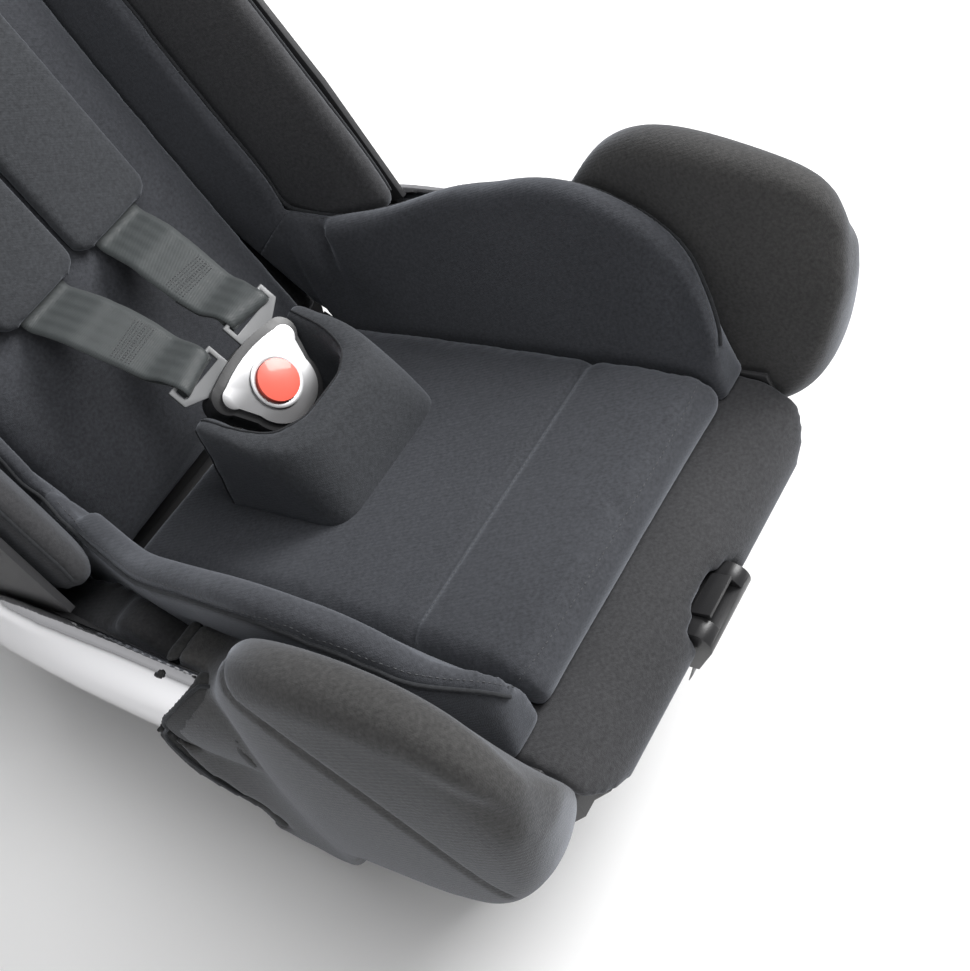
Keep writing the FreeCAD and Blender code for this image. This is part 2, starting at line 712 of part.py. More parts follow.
face_items = [(0, -31), (16, -27, 27, -8), (33, 6), (37, 16, 29, 21), (0, 25, -29, 21),
              (-37, 16, -33, 6), (-27, -8), (-16, -27, 0, -31)]
body_items = [(0, -35), (19, -31, 31, -10), (38, 6), (42, 20, 32, 27), (0, 31, -32, 27),
              (-42, 20, -38, 6), (-31, -10), (-19, -31, 0, -35)]
housing = buckle_plate(body_items, -23, -3)
tongue_slot = buckle_plate([(-38, 4), (38, 4), (38, 60), (-38, 60)], -12.4, -9.0)
BUTTON = D["button_radius"]
well = Part.makeCylinder(BUTTON + 0.4, 9, buckle_plane(-8)(0, -2), WB)
housing = housing.cut(tongue_slot).cut(well)
anchor_cut = buckle_plate([(-20.5, -60), (20.5, -60), (20.5, -24), (-20.5, -24)], -20.6, -18.0)
housing = housing.cut(anchor_cut)
feature("buckle_housing", housing)
face = buckle_plate(face_items, -3, 0)
face = face.cut(Part.makeCylinder(BUTTON + 0.4, 20, buckle_plane(-12)(0, -2), WB))
ring = Part.makeCylinder(D["ring_radius"], 1.6, buckle_plane(0)(0, -2), WB)
ring = ring.cut(Part.makeCylinder(BUTTON + 0.4, 9, buckle_plane(-2)(0, -2), WB))
feature("buckle_face", face.fuse(ring).removeSplitter())
button = doc.addObject("Part::Cylinder", "buckle_button")
button.Label = "buckle_button"
button.setExpression("Radius", "Dimensions.button_radius")
button.setExpression("Height", "Dimensions.button_height")
aim = FreeCAD.Rotation(V(0, 0, 1), WB)
button.Placement = SEAT.multiply(FreeCAD.Placement(buckle_plane(-3.6)(0, -2), aim))
NODES["buckle_button"] = button

TONGUE = [(2, 6), (30, 6), (30, 22), (53, 33), (53, 47), (8, 47), (8, 30), (2, 24)]
tongue = buckle_plate(TONGUE, -12.0, -9.4)
slit = buckle_plate([(11.5, 36.6), (49, 36.6), (49, 44), (11.5, 44)], -20, 0)
tongue = tongue.cut(slit)

# Shoulder webbing from the tongues under the pads to the backrest slots and the yoke
WT = D["webbing_thick"]
SHX = 40.0
ty, tz = buckle_plane(-11.5)(0, 39.6).y, buckle_plane(-11.5)(0, 39.6).z
strap_path = [(ty, tz, 30, 35), (6, 118, 31, 40), (28, 133, 32, HW * 2), (46, 148, 36, HW * 2),
              back_point(-17, 162) + (SHX, HW * 2), back_point(-17, 338) + (SHX, HW * 2),
              back_point(0, 351.5) + (SHX, HW * 2), back_point(50, 352) + (SHX, HW * 2),
              back_point(56, 344) + (SHX, HW * 2), back_point(56, 170.4) + (SHX, HW * 2)]
for name, sign in SIDES:
    feature("tongue_" + name, side_of(tongue, sign))
    strap = band(strap_path, WT)
    feature("shoulder_strap_" + name, side_of(strap, sign))
    pad_raw = back_plate([(2, 180), (8, 172, 20, 171), (60, 171), (72, 172, 78, 180),
                          (78, 322), (72, 334, 60, 335), (20, 335), (8, 334, 2, 322)],
                         -24.0, -11.0)
    round_off = prism(back_plane(160), [(2, -16.5), (3, -21, 10, -23), (40, -24.2, 70, -23),
                                        (77, -21, 78, -16.5), (76, -12.5, 68, -11), (12, -11),
                                        (4, -12.5, 2, -16.5)], ALONG * 190)
    pad_raw = side_of(pad_raw.common(round_off), sign)
    channel = slab(ribbon([back_point(-17, 160), back_point(-17, 345)], WT + 1.0),
                   sign * SHX - HW - 1, sign * SHX + HW + 1)
    feature("shoulder_pad_" + name, pad_raw.cut(channel))

yoke = back_plate([(-66, 158), (66, 158), (66, 182), (14, 182), (10, 172), (-10, 172),
                   (-14, 182), (-66, 182)], 54.4, 57.4)
yoke = yoke.fuse(back_plate([(-24, 128), (24, 128), (30, 160), (-30, 160)], 54.4, 57.4))
for x in (-SHX, SHX):
    yoke = yoke.cut(back_plate([(x - HW - 1, 170), (x + HW + 1, 170), (x + HW + 1, 183),
                                (x - HW - 1, 183)], 50, 60))
yoke = yoke.cut(back_plate([(-22.5, 128), (22.5, 128), (22.5, 142), (-22.5, 142)], 50, 60))
feature("harness_yoke", yoke.removeSplitter())

pull = [back_point(56, 141.6), back_point(56, 0), (100, -34), (86, -51), (56, -58), (16, -74),
        (-290, -74), (-308, -67), (-322, -66), (-334, -69.2), (-341, -74), (-343.5, -80),
        (-335, -98), (-323, -118), (-313, -140)]
web = slab(ribbon(pull, WT), -19, 19)
feature("adjuster_strap", web)

# Crotch pad: a padded pouch with a scooped mouth around the buckle
POUCH = [(-1, -121, 61, -10, 13), (25, -119, 61, -16, 22), (55, -110, 61, -24, 34),
         (96, -92, 60, -27, 46)]
CAVITY = [(10, -84, 42, 30, 20), (34, -87, 44, 30, 26), (64, -90, 46, 30, 34),
          (105, -80, 46, 30, 38)]


def pouch(table):
    wires = []
    for z, f, w, b, r in table:
        m = r * 0.293
        wires.append(wire(xy(z), [
            (w, b), (w, f + r), (w - m, f + m, w - r, f), (-w + r, f),
            (-w + m, f + m, -w, f + r), (-w, b)]))
    return loft(wires)


crotch = pouch(POUCH).cut(pouch(CAVITY))
mouth = slab([(-160, 50), (-91, 70), (-40, 86), (10, 96), (10, 140), (-160, 140)], -90, 90)
crotch = crotch.cut(mouth)
crown = slab([(46, -40), (48, -2 + GAP), (-122, CC + GAP, -298, -1 + GAP), (-305, -40)], -90, 90)
crotch = crotch.cut(crown).cut(box(-21, 21, SLOT_Y - 4, SLOT_Y + 4, -10, 30))
clear = buckle_plate([tuple(a * 1.05 for a in item) for item in body_items], -24, 8)
clear = clear.fuse(buckle_plate([(-45, 18), (45, 18), (45, 60), (-45, 60)], -24, 8))
crotch = crotch.cut(clear)
keep = max(crotch.Solids, key=lambda item: item.Volume)
feature("crotch_pad", keep)

low = buckle_plane(-19.3)(0, -26)
knee = buckle_plane(-19.3)(0, -38)
stem_path = [(low.y, low.z), (knee.y, knee.z), (SLOT_Y, 30), (SLOT_Y, -51)]
feature("crotch_strap", slab(ribbon(stem_path, WT), -19, 19))
anchor = box(-34, 34, SLOT_Y - 9, SLOT_Y + 9, -55.0, -51.2)
feature("crotch_anchor", anchor)

# Front adjuster for the harness
house = slab([(-331.0, -61), (-333.4, -59.4), (-345, -58.8), (-353, -64, -353, -76),
              (-338, -99), (-312.4, -99), (-331.0, -77)], -31, 27)
throat = slab([(-325, -63.5), (-334, -65), (-347.5, -72), (-348, -78), (-339, -104),
               (-329, -104), (-338.5, -80), (-335, -73.5), (-325, -70.5)], -23, 21)
house = house.cut(throat)
lever_cut = box(-17, 15, -355, -335.4, -67.6, -50)
house = house.cut(lever_cut)
house = house.cut(Part.makeCylinder(2.0, 70, V(-36, -339, -64), V(1, 0, 0)))
feature("adjuster_housing", house)
lever = slab([(-337, -63), (-336.6, -57), (-350.6, -55.4), (-350.6, -58.4), (-341.4, -61.6)],
             -16.6, 14.6)
lever = lever.fuse(Part.makeCylinder(3.2, 31.2, V(-16.6, -339, -64), V(1, 0, 0)))
lever = lever.removeSplitter().cut(Part.makeCylinder(2.0, 70, V(-36, -339, -64), V(1, 0, 0)))
feature("adjuster_button", max(lever.Solids, key=lambda item: item.Volume))
pin = doc.addObject("Part::Cylinder", "adjuster_pin")
pin.Label = "adjuster_pin"
pin.setExpression("Radius", "Dimensions.adjuster_pin_radius")
pin.setExpression("Height", "Dimensions.adjuster_pin_length")
turn = FreeCAD.Rotation(V(0, 1, 0), 90)
pin.Placement = SEAT.multiply(FreeCAD.Placement(V(-28, -339, -64), turn))
NODES["adjuster_pin"] = pin

# Headrest that slides up the backrest
head_items = [(-150, 378), (150, 378), (160, 430), (150, 500, 100, 520), (-100, 520),
              (-150, 500, -160, 430)]
head_shell = back_plate(head_items, 28.4, 34.2)
grip_window = back_plate([(-40, 491), (40, 491), (40, 510), (-40, 510)], 20, 40)
feature("headrest_shell", head_shell.cut(grip_window))
head_pad = back_plate([(-112, 376), (112, 376), (116, 430), (108, 496, 80, 508), (-80, 508),
                       (-108, 496, -116, 430)], -8.0, 28.0)
head_pad = crowned(head_pad, 116.0, 10.0, -8.0, 340, 540)
head_pad = head_pad.cut(back_plate([(-42, 488), (42, 488), (42, 512), (-42, 512)], 18, 40))
feature("headrest_cushion", head_pad)
HEADWING = [(378, 60, 150), (410, 84, 156), (450, 88, 158), (485, 70, 152), (508, 40, 138)]


def head_wing():
    wires = []
    for s, d, x in HEADWING:
        root = min(116.6, x - 24)
        wires.append(wire(back_plane(s), [
            (root, 28), (root, 0), (root + 6, -d * 0.5, x - 16, -d + 4),
            (x - 8, -d - 3, x, -d + 6), (x + 7, -d * 0.3, x + 4, 28)]))
    return loft(wires)


HW_SOLID = head_wing().cut(back_plate([(-112.4, 370), (112.4, 370), (116.4, 430),
                                       (108.4, 496.4, 80, 508.4), (-80, 508.4),
                                       (-108.4, 496.4, -116.4, 430)], -6.0, 30.0))
HW_SOLID = max(HW_SOLID.Solids, key=lambda item: item.Volume)
for name, sign in SIDES:
    feature("headrest_wing_" + name, side_of(HW_SOLID, sign))
squeeze = back_plate([(-36, 494), (36, 494), (36, 498), (-36, 498)], 20.5, 36.4)
squeeze = squeeze.fuse(back_plate([(-30, 494), (30, 494), (30, 516), (-30, 516)],
                                  34.5, 36.6)).removeSplitter()
feature("headrest_handle", squeeze)

# Check and write
doc.recompute()
bad = 0
for obj in doc.Objects:
    if "Invalid" in obj.State or "Error" in obj.State:
        print("bad state", obj.Label, obj.State)
        bad += 1
for label, obj in sorted(NODES.items()):
    shape = obj.Shape
    if shape.isNull() or not shape.isValid():
        print("bad shape", label)
        bad += 1
        continue
    if len(shape.Solids) != 1:
        print("solids", label, len(shape.Solids))
    shape.exportStep("parts/%s.step" % label)
print("nodes", len(NODES), "bad", bad)
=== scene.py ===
# %% [markdown]
# # A convertible car seat, dressed in cloth, webbing and chrome
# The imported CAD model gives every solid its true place. This lesson keeps that frame
# and puts real looking surfaces over it: knit covers stretched over foam, piped edges,
# ribbed webbing, a moulded buckle and a pair of bright bows. Lengths are in metres here.

# %% Load the frame
import bpy, bmesh, json, math
import numpy as np
from mathutils import Vector, Matrix
from mathutils.bvhtree import BVHTree


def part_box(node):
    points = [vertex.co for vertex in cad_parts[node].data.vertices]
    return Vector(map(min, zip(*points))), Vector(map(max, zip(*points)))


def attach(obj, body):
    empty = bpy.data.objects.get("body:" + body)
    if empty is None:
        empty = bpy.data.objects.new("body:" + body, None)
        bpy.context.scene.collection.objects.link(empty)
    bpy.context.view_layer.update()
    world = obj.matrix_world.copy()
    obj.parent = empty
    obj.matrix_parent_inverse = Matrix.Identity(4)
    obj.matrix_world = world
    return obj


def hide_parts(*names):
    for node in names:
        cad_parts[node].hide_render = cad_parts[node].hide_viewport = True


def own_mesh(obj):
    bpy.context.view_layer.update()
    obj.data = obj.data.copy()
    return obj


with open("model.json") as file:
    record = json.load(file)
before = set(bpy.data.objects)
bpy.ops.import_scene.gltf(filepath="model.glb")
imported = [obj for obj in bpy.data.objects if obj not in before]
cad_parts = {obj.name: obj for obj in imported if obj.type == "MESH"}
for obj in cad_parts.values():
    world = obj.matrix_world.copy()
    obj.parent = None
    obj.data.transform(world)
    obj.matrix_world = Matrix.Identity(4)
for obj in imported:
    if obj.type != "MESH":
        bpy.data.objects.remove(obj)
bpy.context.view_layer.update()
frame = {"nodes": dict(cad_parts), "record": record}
record = frame["record"]

# %% [markdown]
# ## The seat's own axes
# The seat body is tipped back 24 degrees and lifted onto its base, so it is easier to
# think in the seat's own millimetres: x across, y along the cushion, z up from it.
# One small function turns those into the world's metres. A second one does the same
# for the backrest, which leans another 15 degrees: t is depth behind its face, s height.

# %% Seat and backrest coordinates
TILT, LEAN = math.radians(24.0), math.radians(15.0)
ORIGIN = Vector((0.0, 0.100, 0.145))

def seat(x, y, z):
    return Vector((x, y * math.cos(TILT) + z * math.sin(TILT),
                   z * math.cos(TILT) - y * math.sin(TILT))) / 1000.0 + ORIGIN

def rest_yz(t, s):
    return 52 + s * math.sin(LEAN) + t * math.cos(LEAN), s * math.cos(LEAN) - t * math.sin(LEAN)

def rest(x, t, s):
    y, z = rest_yz(t, s)
    return seat(x, y, z)

def seat_dir(x, y, z):
    return (seat(x, y, z) - seat(0, 0, 0)).normalized()

SIDES = (("left", 1), ("right", -1))
print("bite of the seat at", [round(v, 3) for v in seat(0, 52, 0)])

# %% [markdown]
# ## Camera
# The photograph looks down over the child's right shoulder. The place, the aim and the
# focal length were worked out from edges whose size is known, so the camera is set once
# by its three axes instead of by hand turning.

# %% Camera
cam_data = bpy.data.cameras.new("photo_camera")
cam_data.sensor_width, cam_data.lens = 36.0, 51.83
camera = bpy.data.objects.new("photo_camera", cam_data)
bpy.context.scene.collection.objects.link(camera)
PLACE = (-0.4082, -0.3087, 1.0005)
RIGHT, UP = (0.49369, -0.86964, 0.0), (0.74263, 0.42159, 0.52036)
AWAY = (-0.45252, -0.2569, 0.85395)
camera.matrix_world = Matrix(list(zip(RIGHT, UP, AWAY, PLACE)) + [(0, 0, 0, 1)])
bpy.context.scene.camera = camera

# %% [markdown]
# ## Floor and light
# A pale floor catches a soft shadow. The world is plain white to the camera; to the
# surfaces it is a studio with one bright panel high up and a dark band under it, which
# gives the chrome its black and white streaks. The key lamp stands beyond the far arm,
# because in the photograph the far bolster's inner face is the dark one.

# %% Floor, world and lamps
def new_material(name):
    mat = bpy.data.materials.new(name)
    mat.use_nodes = True
    return mat, mat.node_tree, mat.node_tree.nodes["Principled BSDF"]

def add_lamp(name, place, aim, size, power):
    data = bpy.data.lights.new(name, "AREA")
    data.shape, data.size, data.energy = "SQUARE", size, power
    lamp = bpy.data.objects.new(name, data)
    bpy.context.scene.collection.objects.link(lamp)
    lamp.location = place
    lamp.rotation_euler = (Vector(aim) - Vector(place)).to_track_quat("-Z", "Y").to_euler()
    return lamp

floor_mat, tree, shader = new_material("pale_floor")
shader.inputs["Base Color"].default_value = (0.93, 0.93, 0.93, 1)
shader.inputs["Roughness"].default_value = 0.9
bpy.ops.mesh.primitive_plane_add(size=12, location=(0, 0.1, 0))
floor = bpy.context.object
floor.name = "studio_floor"
floor.data.materials.append(floor_mat)

world = bpy.data.worlds.new("studio")
bpy.context.scene.world = world
world.use_nodes = True
wt = world.node_tree
white = wt.nodes["Background"]
white.inputs["Color"].default_value = (1, 1, 1, 1)
white.inputs["Strength"].default_value = 1.0
room = wt.nodes.new("ShaderNodeBackground")
look = wt.nodes.new("ShaderNodeTexCoord")
split = wt.nodes.new("ShaderNodeSeparateXYZ")
panels = wt.nodes.new("ShaderNodeValToRGB")
panels.color_ramp.interpolation = "EASE"
STUDIO_STRENGTH = 0.42
STUDIO = ((0.0, 0.5), (0.50, 0.8), (0.60, 0.95), (0.78, 0.85), (0.83, 0.04), (0.93, 0.02), (1.0, 0.1))
for place, grey in STUDIO:      # how high in the room, how bright
    stop = panels.color_ramp.elements.new(place)
    stop.color = (grey, grey, grey * 1.02, 1)
height = wt.nodes.new("ShaderNodeMapRange")
height.inputs["From Min"].default_value, height.inputs["From Max"].default_value = -1.0, 1.0
mixer = wt.nodes.new("ShaderNodeMixShader")
path = wt.nodes.new("ShaderNodeLightPath")
direct = wt.nodes.new("ShaderNodeMath"); direct.operation = "MAXIMUM"
wt.links.new(look.outputs["Generated"], split.inputs["Vector"])
wt.links.new(split.outputs["Z"], height.inputs["Value"])
wt.links.new(height.outputs["Result"], panels.inputs["Fac"])
wt.links.new(panels.outputs["Color"], room.inputs["Color"])
room.inputs["Strength"].default_value = STUDIO_STRENGTH
wt.links.new(path.outputs["Is Camera Ray"], direct.inputs[0])
wt.links.new(path.outputs["Is Transmission Ray"], direct.inputs[1])
wt.links.new(direct.outputs[0], mixer.inputs["Fac"])
wt.links.new(room.outputs[0], mixer.inputs[1])
wt.links.new(white.outputs[0], mixer.inputs[2])
wt.links.new(mixer.outputs[0], wt.nodes["World Output"].inputs["Surface"])
add_lamp("key_lamp", (1.6, -0.5, 1.9), (0, 0.0, 0.25), 1.1, 66)
add_lamp("near_lamp", (-1.9, -1.3, 1.3), (-0.1, 0, 0.25), 1.0, 10)
overhead = add_lamp("overhead_lamp", (0.2, -0.2, 3.2), (0, 0, 0), 2.4, 62)
overhead.visible_glossy = False
bpy.context.scene.view_settings.view_transform = "Standard"

# %% [markdown]
# ## Finishes
# The covers are a fine knit bonded to thin foam. Up close it is a field of tiny loops,
# so a Voronoi pattern a bit under a millimetre across makes the bump, a wave gives the
# knit its faint rows, and two slow noises vary colour and roughness as handling does.
# Constant values such as sheen go straight onto the shader's sockets.

# %% Knit, webbing and plastic materials
def nodes_of(tree, kind, **values):
    """A shader node, with its settings and its constant inputs given by name."""
    node = tree.nodes.new(kind)
    for key, value in values.items():
        if hasattr(node, key):
            setattr(node, key, value)
        else:
            node.inputs[key.replace("_", " ")].default_value = value
    return node

def multiply_add(tree, value, factor, addend):
    node = nodes_of(tree, "ShaderNodeMath", operation="MULTIPLY_ADD")
    node.inputs[1].default_value = factor
    tree.links.new(value, node.inputs[0])
    tree.links.new(addend, node.inputs[2])
    return node.outputs[0]

def tint(tree, shader, factor, colour, dark, light):
    """Base colour that wanders between a darker and a lighter shade of one colour."""
    ramp = tree.nodes.new("ShaderNodeValToRGB")
    stops = ramp.color_ramp.elements
    stops[0].color = (*(c * dark for c in colour), 1)
    stops[1].color = (*(min(c * light, 1) for c in colour), 1)
    tree.links.new(factor, ramp.inputs["Fac"])
    tree.links.new(ramp.outputs["Color"], shader.inputs["Base Color"])
    return stops

def emboss(tree, shader, height, strength, distance):
    bump = nodes_of(tree, "ShaderNodeBump", Strength=strength, Distance=distance)
    tree.links.new(height, bump.inputs["Height"])
    tree.links.new(bump.outputs["Normal"], shader.inputs["Normal"])

def wear(tree, shader, source, low, high, **limits):
    """Roughness that follows a pattern between two values."""
    node = nodes_of(tree, "ShaderNodeMapRange", To_Min=low, To_Max=high, **limits)
    tree.links.new(source, node.inputs["Value"])
    tree.links.new(node.outputs["Result"], shader.inputs["Roughness"])

def knit(name, colour, loop=0.0009, depth=0.35, sheen=0.25, rough=0.86):
    """Bonded knit: loop is the width of one loop, depth is how strongly it shows."""
    mat, tree, shader = new_material(name)
    coords = nodes_of(tree, "ShaderNodeTexCoord")
    loops = nodes_of(tree, "ShaderNodeTexVoronoi", Scale=1.0 / loop, Randomness=0.75)
    rows = nodes_of(tree, "ShaderNodeTexWave", wave_type="BANDS", bands_direction="DIAGONAL",
                    Scale=0.16 / loop, Distortion=1.2)
    cloud = nodes_of(tree, "ShaderNodeTexNoise", Scale=9.0, Detail=4.0)
    lint = nodes_of(tree, "ShaderNodeTexNoise", Scale=420.0, Detail=2.0)
    for tex in (loops, rows, cloud, lint):
        tree.links.new(coords.outputs["Object"], tex.inputs["Vector"])
    shade = multiply_add(tree, cloud.outputs["Fac"], 0.5, lint.outputs["Fac"])
    stops = tint(tree, shader, shade, colour, 0.72, 1.32)
    stops[0].position, stops[1].position = 0.45, 1.0
    height = multiply_add(tree, rows.outputs["Fac"], 0.3, loops.outputs["Distance"])
    emboss(tree, shader, height, depth, 0.0005)
    wear(tree, shader, cloud.outputs["Fac"], rough - 0.08, rough + 0.08)
    shader.inputs["Sheen Weight"].default_value = sheen
    shader.inputs["Sheen Roughness"].default_value = 0.45
    shader.inputs["Sheen Tint"].default_value = (0.85, 0.9, 1.0, 1)
    shader.inputs["Specular IOR Level"].default_value = 0.3
    return mat

def moulded(name, colour, rough=0.45, grain=0.0011, depth=0.12, coat=0.0):
    """Grained plastic: grain is the width of one pebble of the grain."""
    mat, tree, shader = new_material(name)
    coords = nodes_of(tree, "ShaderNodeTexCoord")
    leather = nodes_of(tree, "ShaderNodeTexVoronoi", feature="SMOOTH_F1", Scale=1.0 / grain)
    scuff = nodes_of(tree, "ShaderNodeTexNoise", Scale=22.0, Detail=5.0)
    for tex in (leather, scuff):
        tree.links.new(coords.outputs["Object"], tex.inputs["Vector"])
    tint(tree, shader, scuff.outputs["Fac"], colour, 0.85, 1.15)
    emboss(tree, shader, leather.outputs["Distance"], depth, 0.0003)
    wear(tree, shader, scuff.outputs["Fac"], rough - 0.07, rough + 0.1)
    shader.inputs["Coat Weight"].default_value = coat
    return mat

def metal(name, colour, rough, streak=0.0, smear=0.02):
    """Bare metal: a streak draws its noise out along x, as rolling or brushing does."""
    mat, tree, shader = new_material(name)
    coords = nodes_of(tree, "ShaderNodeTexCoord")
    mapping = nodes_of(tree, "ShaderNodeMapping", Scale=(60, 900, 900) if streak else (1, 1, 1))
    noise = nodes_of(tree, "ShaderNodeTexNoise", Scale=1.0 if streak else 30.0, Detail=3.0)
    tree.links.new(coords.outputs["Object"], mapping.inputs["Vector"])
    tree.links.new(mapping.outputs["Vector"], noise.inputs["Vector"])
    wear(tree, shader, noise.outputs["Fac"], max(rough - smear, 0.01), rough + smear)
    tint(tree, shader, noise.outputs["Fac"], colour, 0.96, 1.0)
    shader.inputs["Metallic"].default_value = 1.0
    if streak:
        emboss(tree, shader, noise.outputs["Fac"], streak, 0.0001)
    return mat

def ribbed_webbing(name, colour):
    """Webbing reads its own UV map: u across in millimetres, v along in millimetres."""
    mat, tree, shader = new_material(name)
    uv = nodes_of(tree, "ShaderNodeUVMap", uv_map="weave")
    split = nodes_of(tree, "ShaderNodeSeparateXYZ")
    tree.links.new(uv.outputs["UV"], split.inputs["Vector"])

    def ripple(axis, pitch):
        turn = nodes_of(tree, "ShaderNodeMath", operation="MULTIPLY")
        turn.inputs[1].default_value = 2 * math.pi / pitch
        wave = nodes_of(tree, "ShaderNodeMath", operation="SINE")
        tree.links.new(split.outputs[axis], turn.inputs[0])
        tree.links.new(turn.outputs[0], wave.inputs[0])
        return wave.outputs[0]

    stripe, along, twill = ripple("X", 8.8), ripple("Y", 1.5), ripple("X", 1.2)
    cross = nodes_of(tree, "ShaderNodeMath", operation="MULTIPLY")
    tree.links.new(along, cross.inputs[0])
    tree.links.new(twill, cross.inputs[1])
    height = multiply_add(tree, stripe, 0.35, cross.outputs[0])
    # The weave's height also sets its colour: painted shade in the hollows between the ribs and painted
    # light on the rib crests.
    shade = nodes_of(tree, "ShaderNodeMapRange", From_Min=-1.35, From_Max=1.35)
    tree.links.new(height, shade.inputs["Value"])
    tint(tree, shader, shade.outputs["Result"], colour, 0.72, 1.25)
    emboss(tree, shader, height, 0.3, 0.0003)
    wear(tree, shader, stripe, 0.42, 0.56, From_Min=-1.0, From_Max=1.0)
    shader.inputs["Sheen Weight"].default_value = 0.15
    return mat

KNIT = {
    "cover_fabric": knit("cover_knit", (0.040, 0.040, 0.042)),
    "insert_fabric": knit("insert_jersey", (0.042, 0.044, 0.050), loop=0.0008, sheen=0.35),
    "pad_fabric": knit("pad_jersey", (0.038, 0.040, 0.044), loop=0.0008, sheen=0.3),
    "sleeve_fabric": knit("sleeve_knit", (0.047, 0.046, 0.045), loop=0.0010, sheen=0.3),
    "cuff_fabric": knit("cuff_binding", (0.028, 0.028, 0.028), loop=0.0007, sheen=0.15),
}
PIPING = knit("piping_jersey", (0.022, 0.023, 0.025), loop=0.0006, depth=0.3, sheen=0.15)
THREAD = moulded("sewing_thread", (0.07, 0.072, 0.076), rough=0.6, grain=0.0004, depth=0.4)
WEBBING = ribbed_webbing("harness_webbing", (0.046, 0.052, 0.053))
HARD = {
    "bright_chrome": metal("bright_chrome", (0.88, 0.88, 0.9), 0.035, smear=0.015),
    "red_plastic": moulded("coral_button", (0.86, 0.13, 0.09), rough=0.32, grain=0.0006,
                           depth=0.03, coat=0.35),
    "silver_face": metal("silver_paint", (0.56, 0.56, 0.57), 0.42, smear=0.05),
    "tongue_plastic": moulded("tongue_satin", (0.13, 0.133, 0.137), rough=0.36, grain=0.0006,
                              depth=0.03, coat=0.1),
    "black_plastic": moulded("buckle_black", (0.018, 0.018, 0.019), rough=0.36),
    "rubber_foot": moulded("rubber_foot", (0.03, 0.03, 0.03), rough=0.8, depth=0.3),
    "steel": metal("zinc_steel", (0.55, 0.56, 0.58), 0.36, streak=0.2, smear=0.08),
    "nylon": moulded("runner_nylon", (0.11, 0.11, 0.115), rough=0.35, depth=0.03),
    "clamp_plastic": moulded("clamp_grey", (0.06, 0.06, 0.064)),
    "handle_plastic": moulded("handle_grey", (0.075, 0.076, 0.08), rough=0.4),
    "shell_plastic": moulded("shell_black", (0.035, 0.035, 0.037), rough=0.5, depth=0.25),
}
slot_of = {entry["node"]: entry["material_slot"] for entry in record["subparts"]}
for name, node in frame["nodes"].items():
    finish = {**KNIT, **HARD, "webbing": WEBBING}[slot_of[name]]
    node.data.materials.clear()
    node.data.materials.append(finish)
print("finishes", len(KNIT) + len(HARD) + 3)

# %% [markdown]
# ## Helpers for cloth over foam
# A foam piece starts as a merged copy of its solid. A voxel remesh gives it one even
# skin, smoothing rounds what a knife cut foam would never keep, and a short cloth
# run with a little pressure pulls the skin tight. Seams are pressed in afterwards,
# because the remesh would swallow them.

# %% Make, soften, puff and groove
body_of = {n: b for b, ns in record["behaviour"]["bodies"].items() for n in ns}
MADE = {}

def paint(obj, material):
    obj.data.materials.clear()
    obj.data.materials.append(material)

def link(name, mesh, material=None):
    obj = bpy.data.objects.new(name, mesh)
    bpy.context.scene.collection.objects.link(obj)
    if material:
        paint(obj, material)
    return obj

def bake(obj):
    """Turns an object's modifiers into plain mesh."""
    deps = bpy.context.evaluated_depsgraph_get()
    mesh = bpy.data.meshes.new_from_object(obj.evaluated_get(deps))
    obj.modifiers.clear()
    obj.data = mesh
    return obj

def merged_copy(node, name):
    """A solid's mesh with its split corners joined, as a new object."""
    bm = bmesh.new()
    bm.from_mesh(frame["nodes"][node].data)
    bmesh.ops.remove_doubles(bm, verts=bm.verts, dist=0.00002)
    mesh = bpy.data.meshes.new(name)
    bm.to_mesh(mesh)
    bm.free()
    return link(name, mesh)

def absorb(obj, *meshes):
    """Adds loose meshes to an object's own, for a remesh to unite."""
    bm = bmesh.new()
    for mesh in (obj.data, *meshes):
        bm.from_mesh(mesh)
    bm.to_mesh(obj.data)
    bm.free()

def shade_smooth(obj):
    obj.data.polygons.foreach_set("use_smooth", [True] * len(obj.data.polygons))
    obj.data.update()

def coords(obj):
    co = np.zeros(len(obj.data.vertices) * 3)
    obj.data.vertices.foreach_get("co", co)
    return co.reshape(-1, 3)

def normals(obj):
    no = np.zeros(len(obj.data.vertices) * 3)
    obj.data.vertices.foreach_get("normal", no)
    return no.reshape(-1, 3)

def set_coords(obj, co):
    obj.data.vertices.foreach_set("co", co.ravel())
    obj.data.update()

def foam(obj, voxel, smooth):
    """One even skin, with its corners worn round."""
    m = obj.modifiers.new("remesh", "REMESH")
    m.mode, m.voxel_size = "VOXEL", voxel
    m = obj.modifiers.new("smooth", "SMOOTH")
    m.factor, m.iterations = 0.5, smooth
    return bake(obj)

def fatten(obj, grow):
    """Smoothing rounds a form off; this gives the lost skin thickness back."""
    set_coords(obj, coords(obj) + normals(obj) * grow)

def soften(node, name, voxel=0.0045, smooth=8, shrink=0.0, grow=0.0008):
    """Foam made from a solid. Shrink draws it in first, as a share of its size."""
    obj = merged_copy(node, name)
    if shrink:
        low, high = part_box(node)
        mid = (low + high) / 2
        for v in obj.data.vertices:
            v.co = mid + (v.co - mid) * (1 - shrink)
    foam(obj, voxel, smooth)
    fatten(obj, grow)
    MADE[node] = obj
    return obj

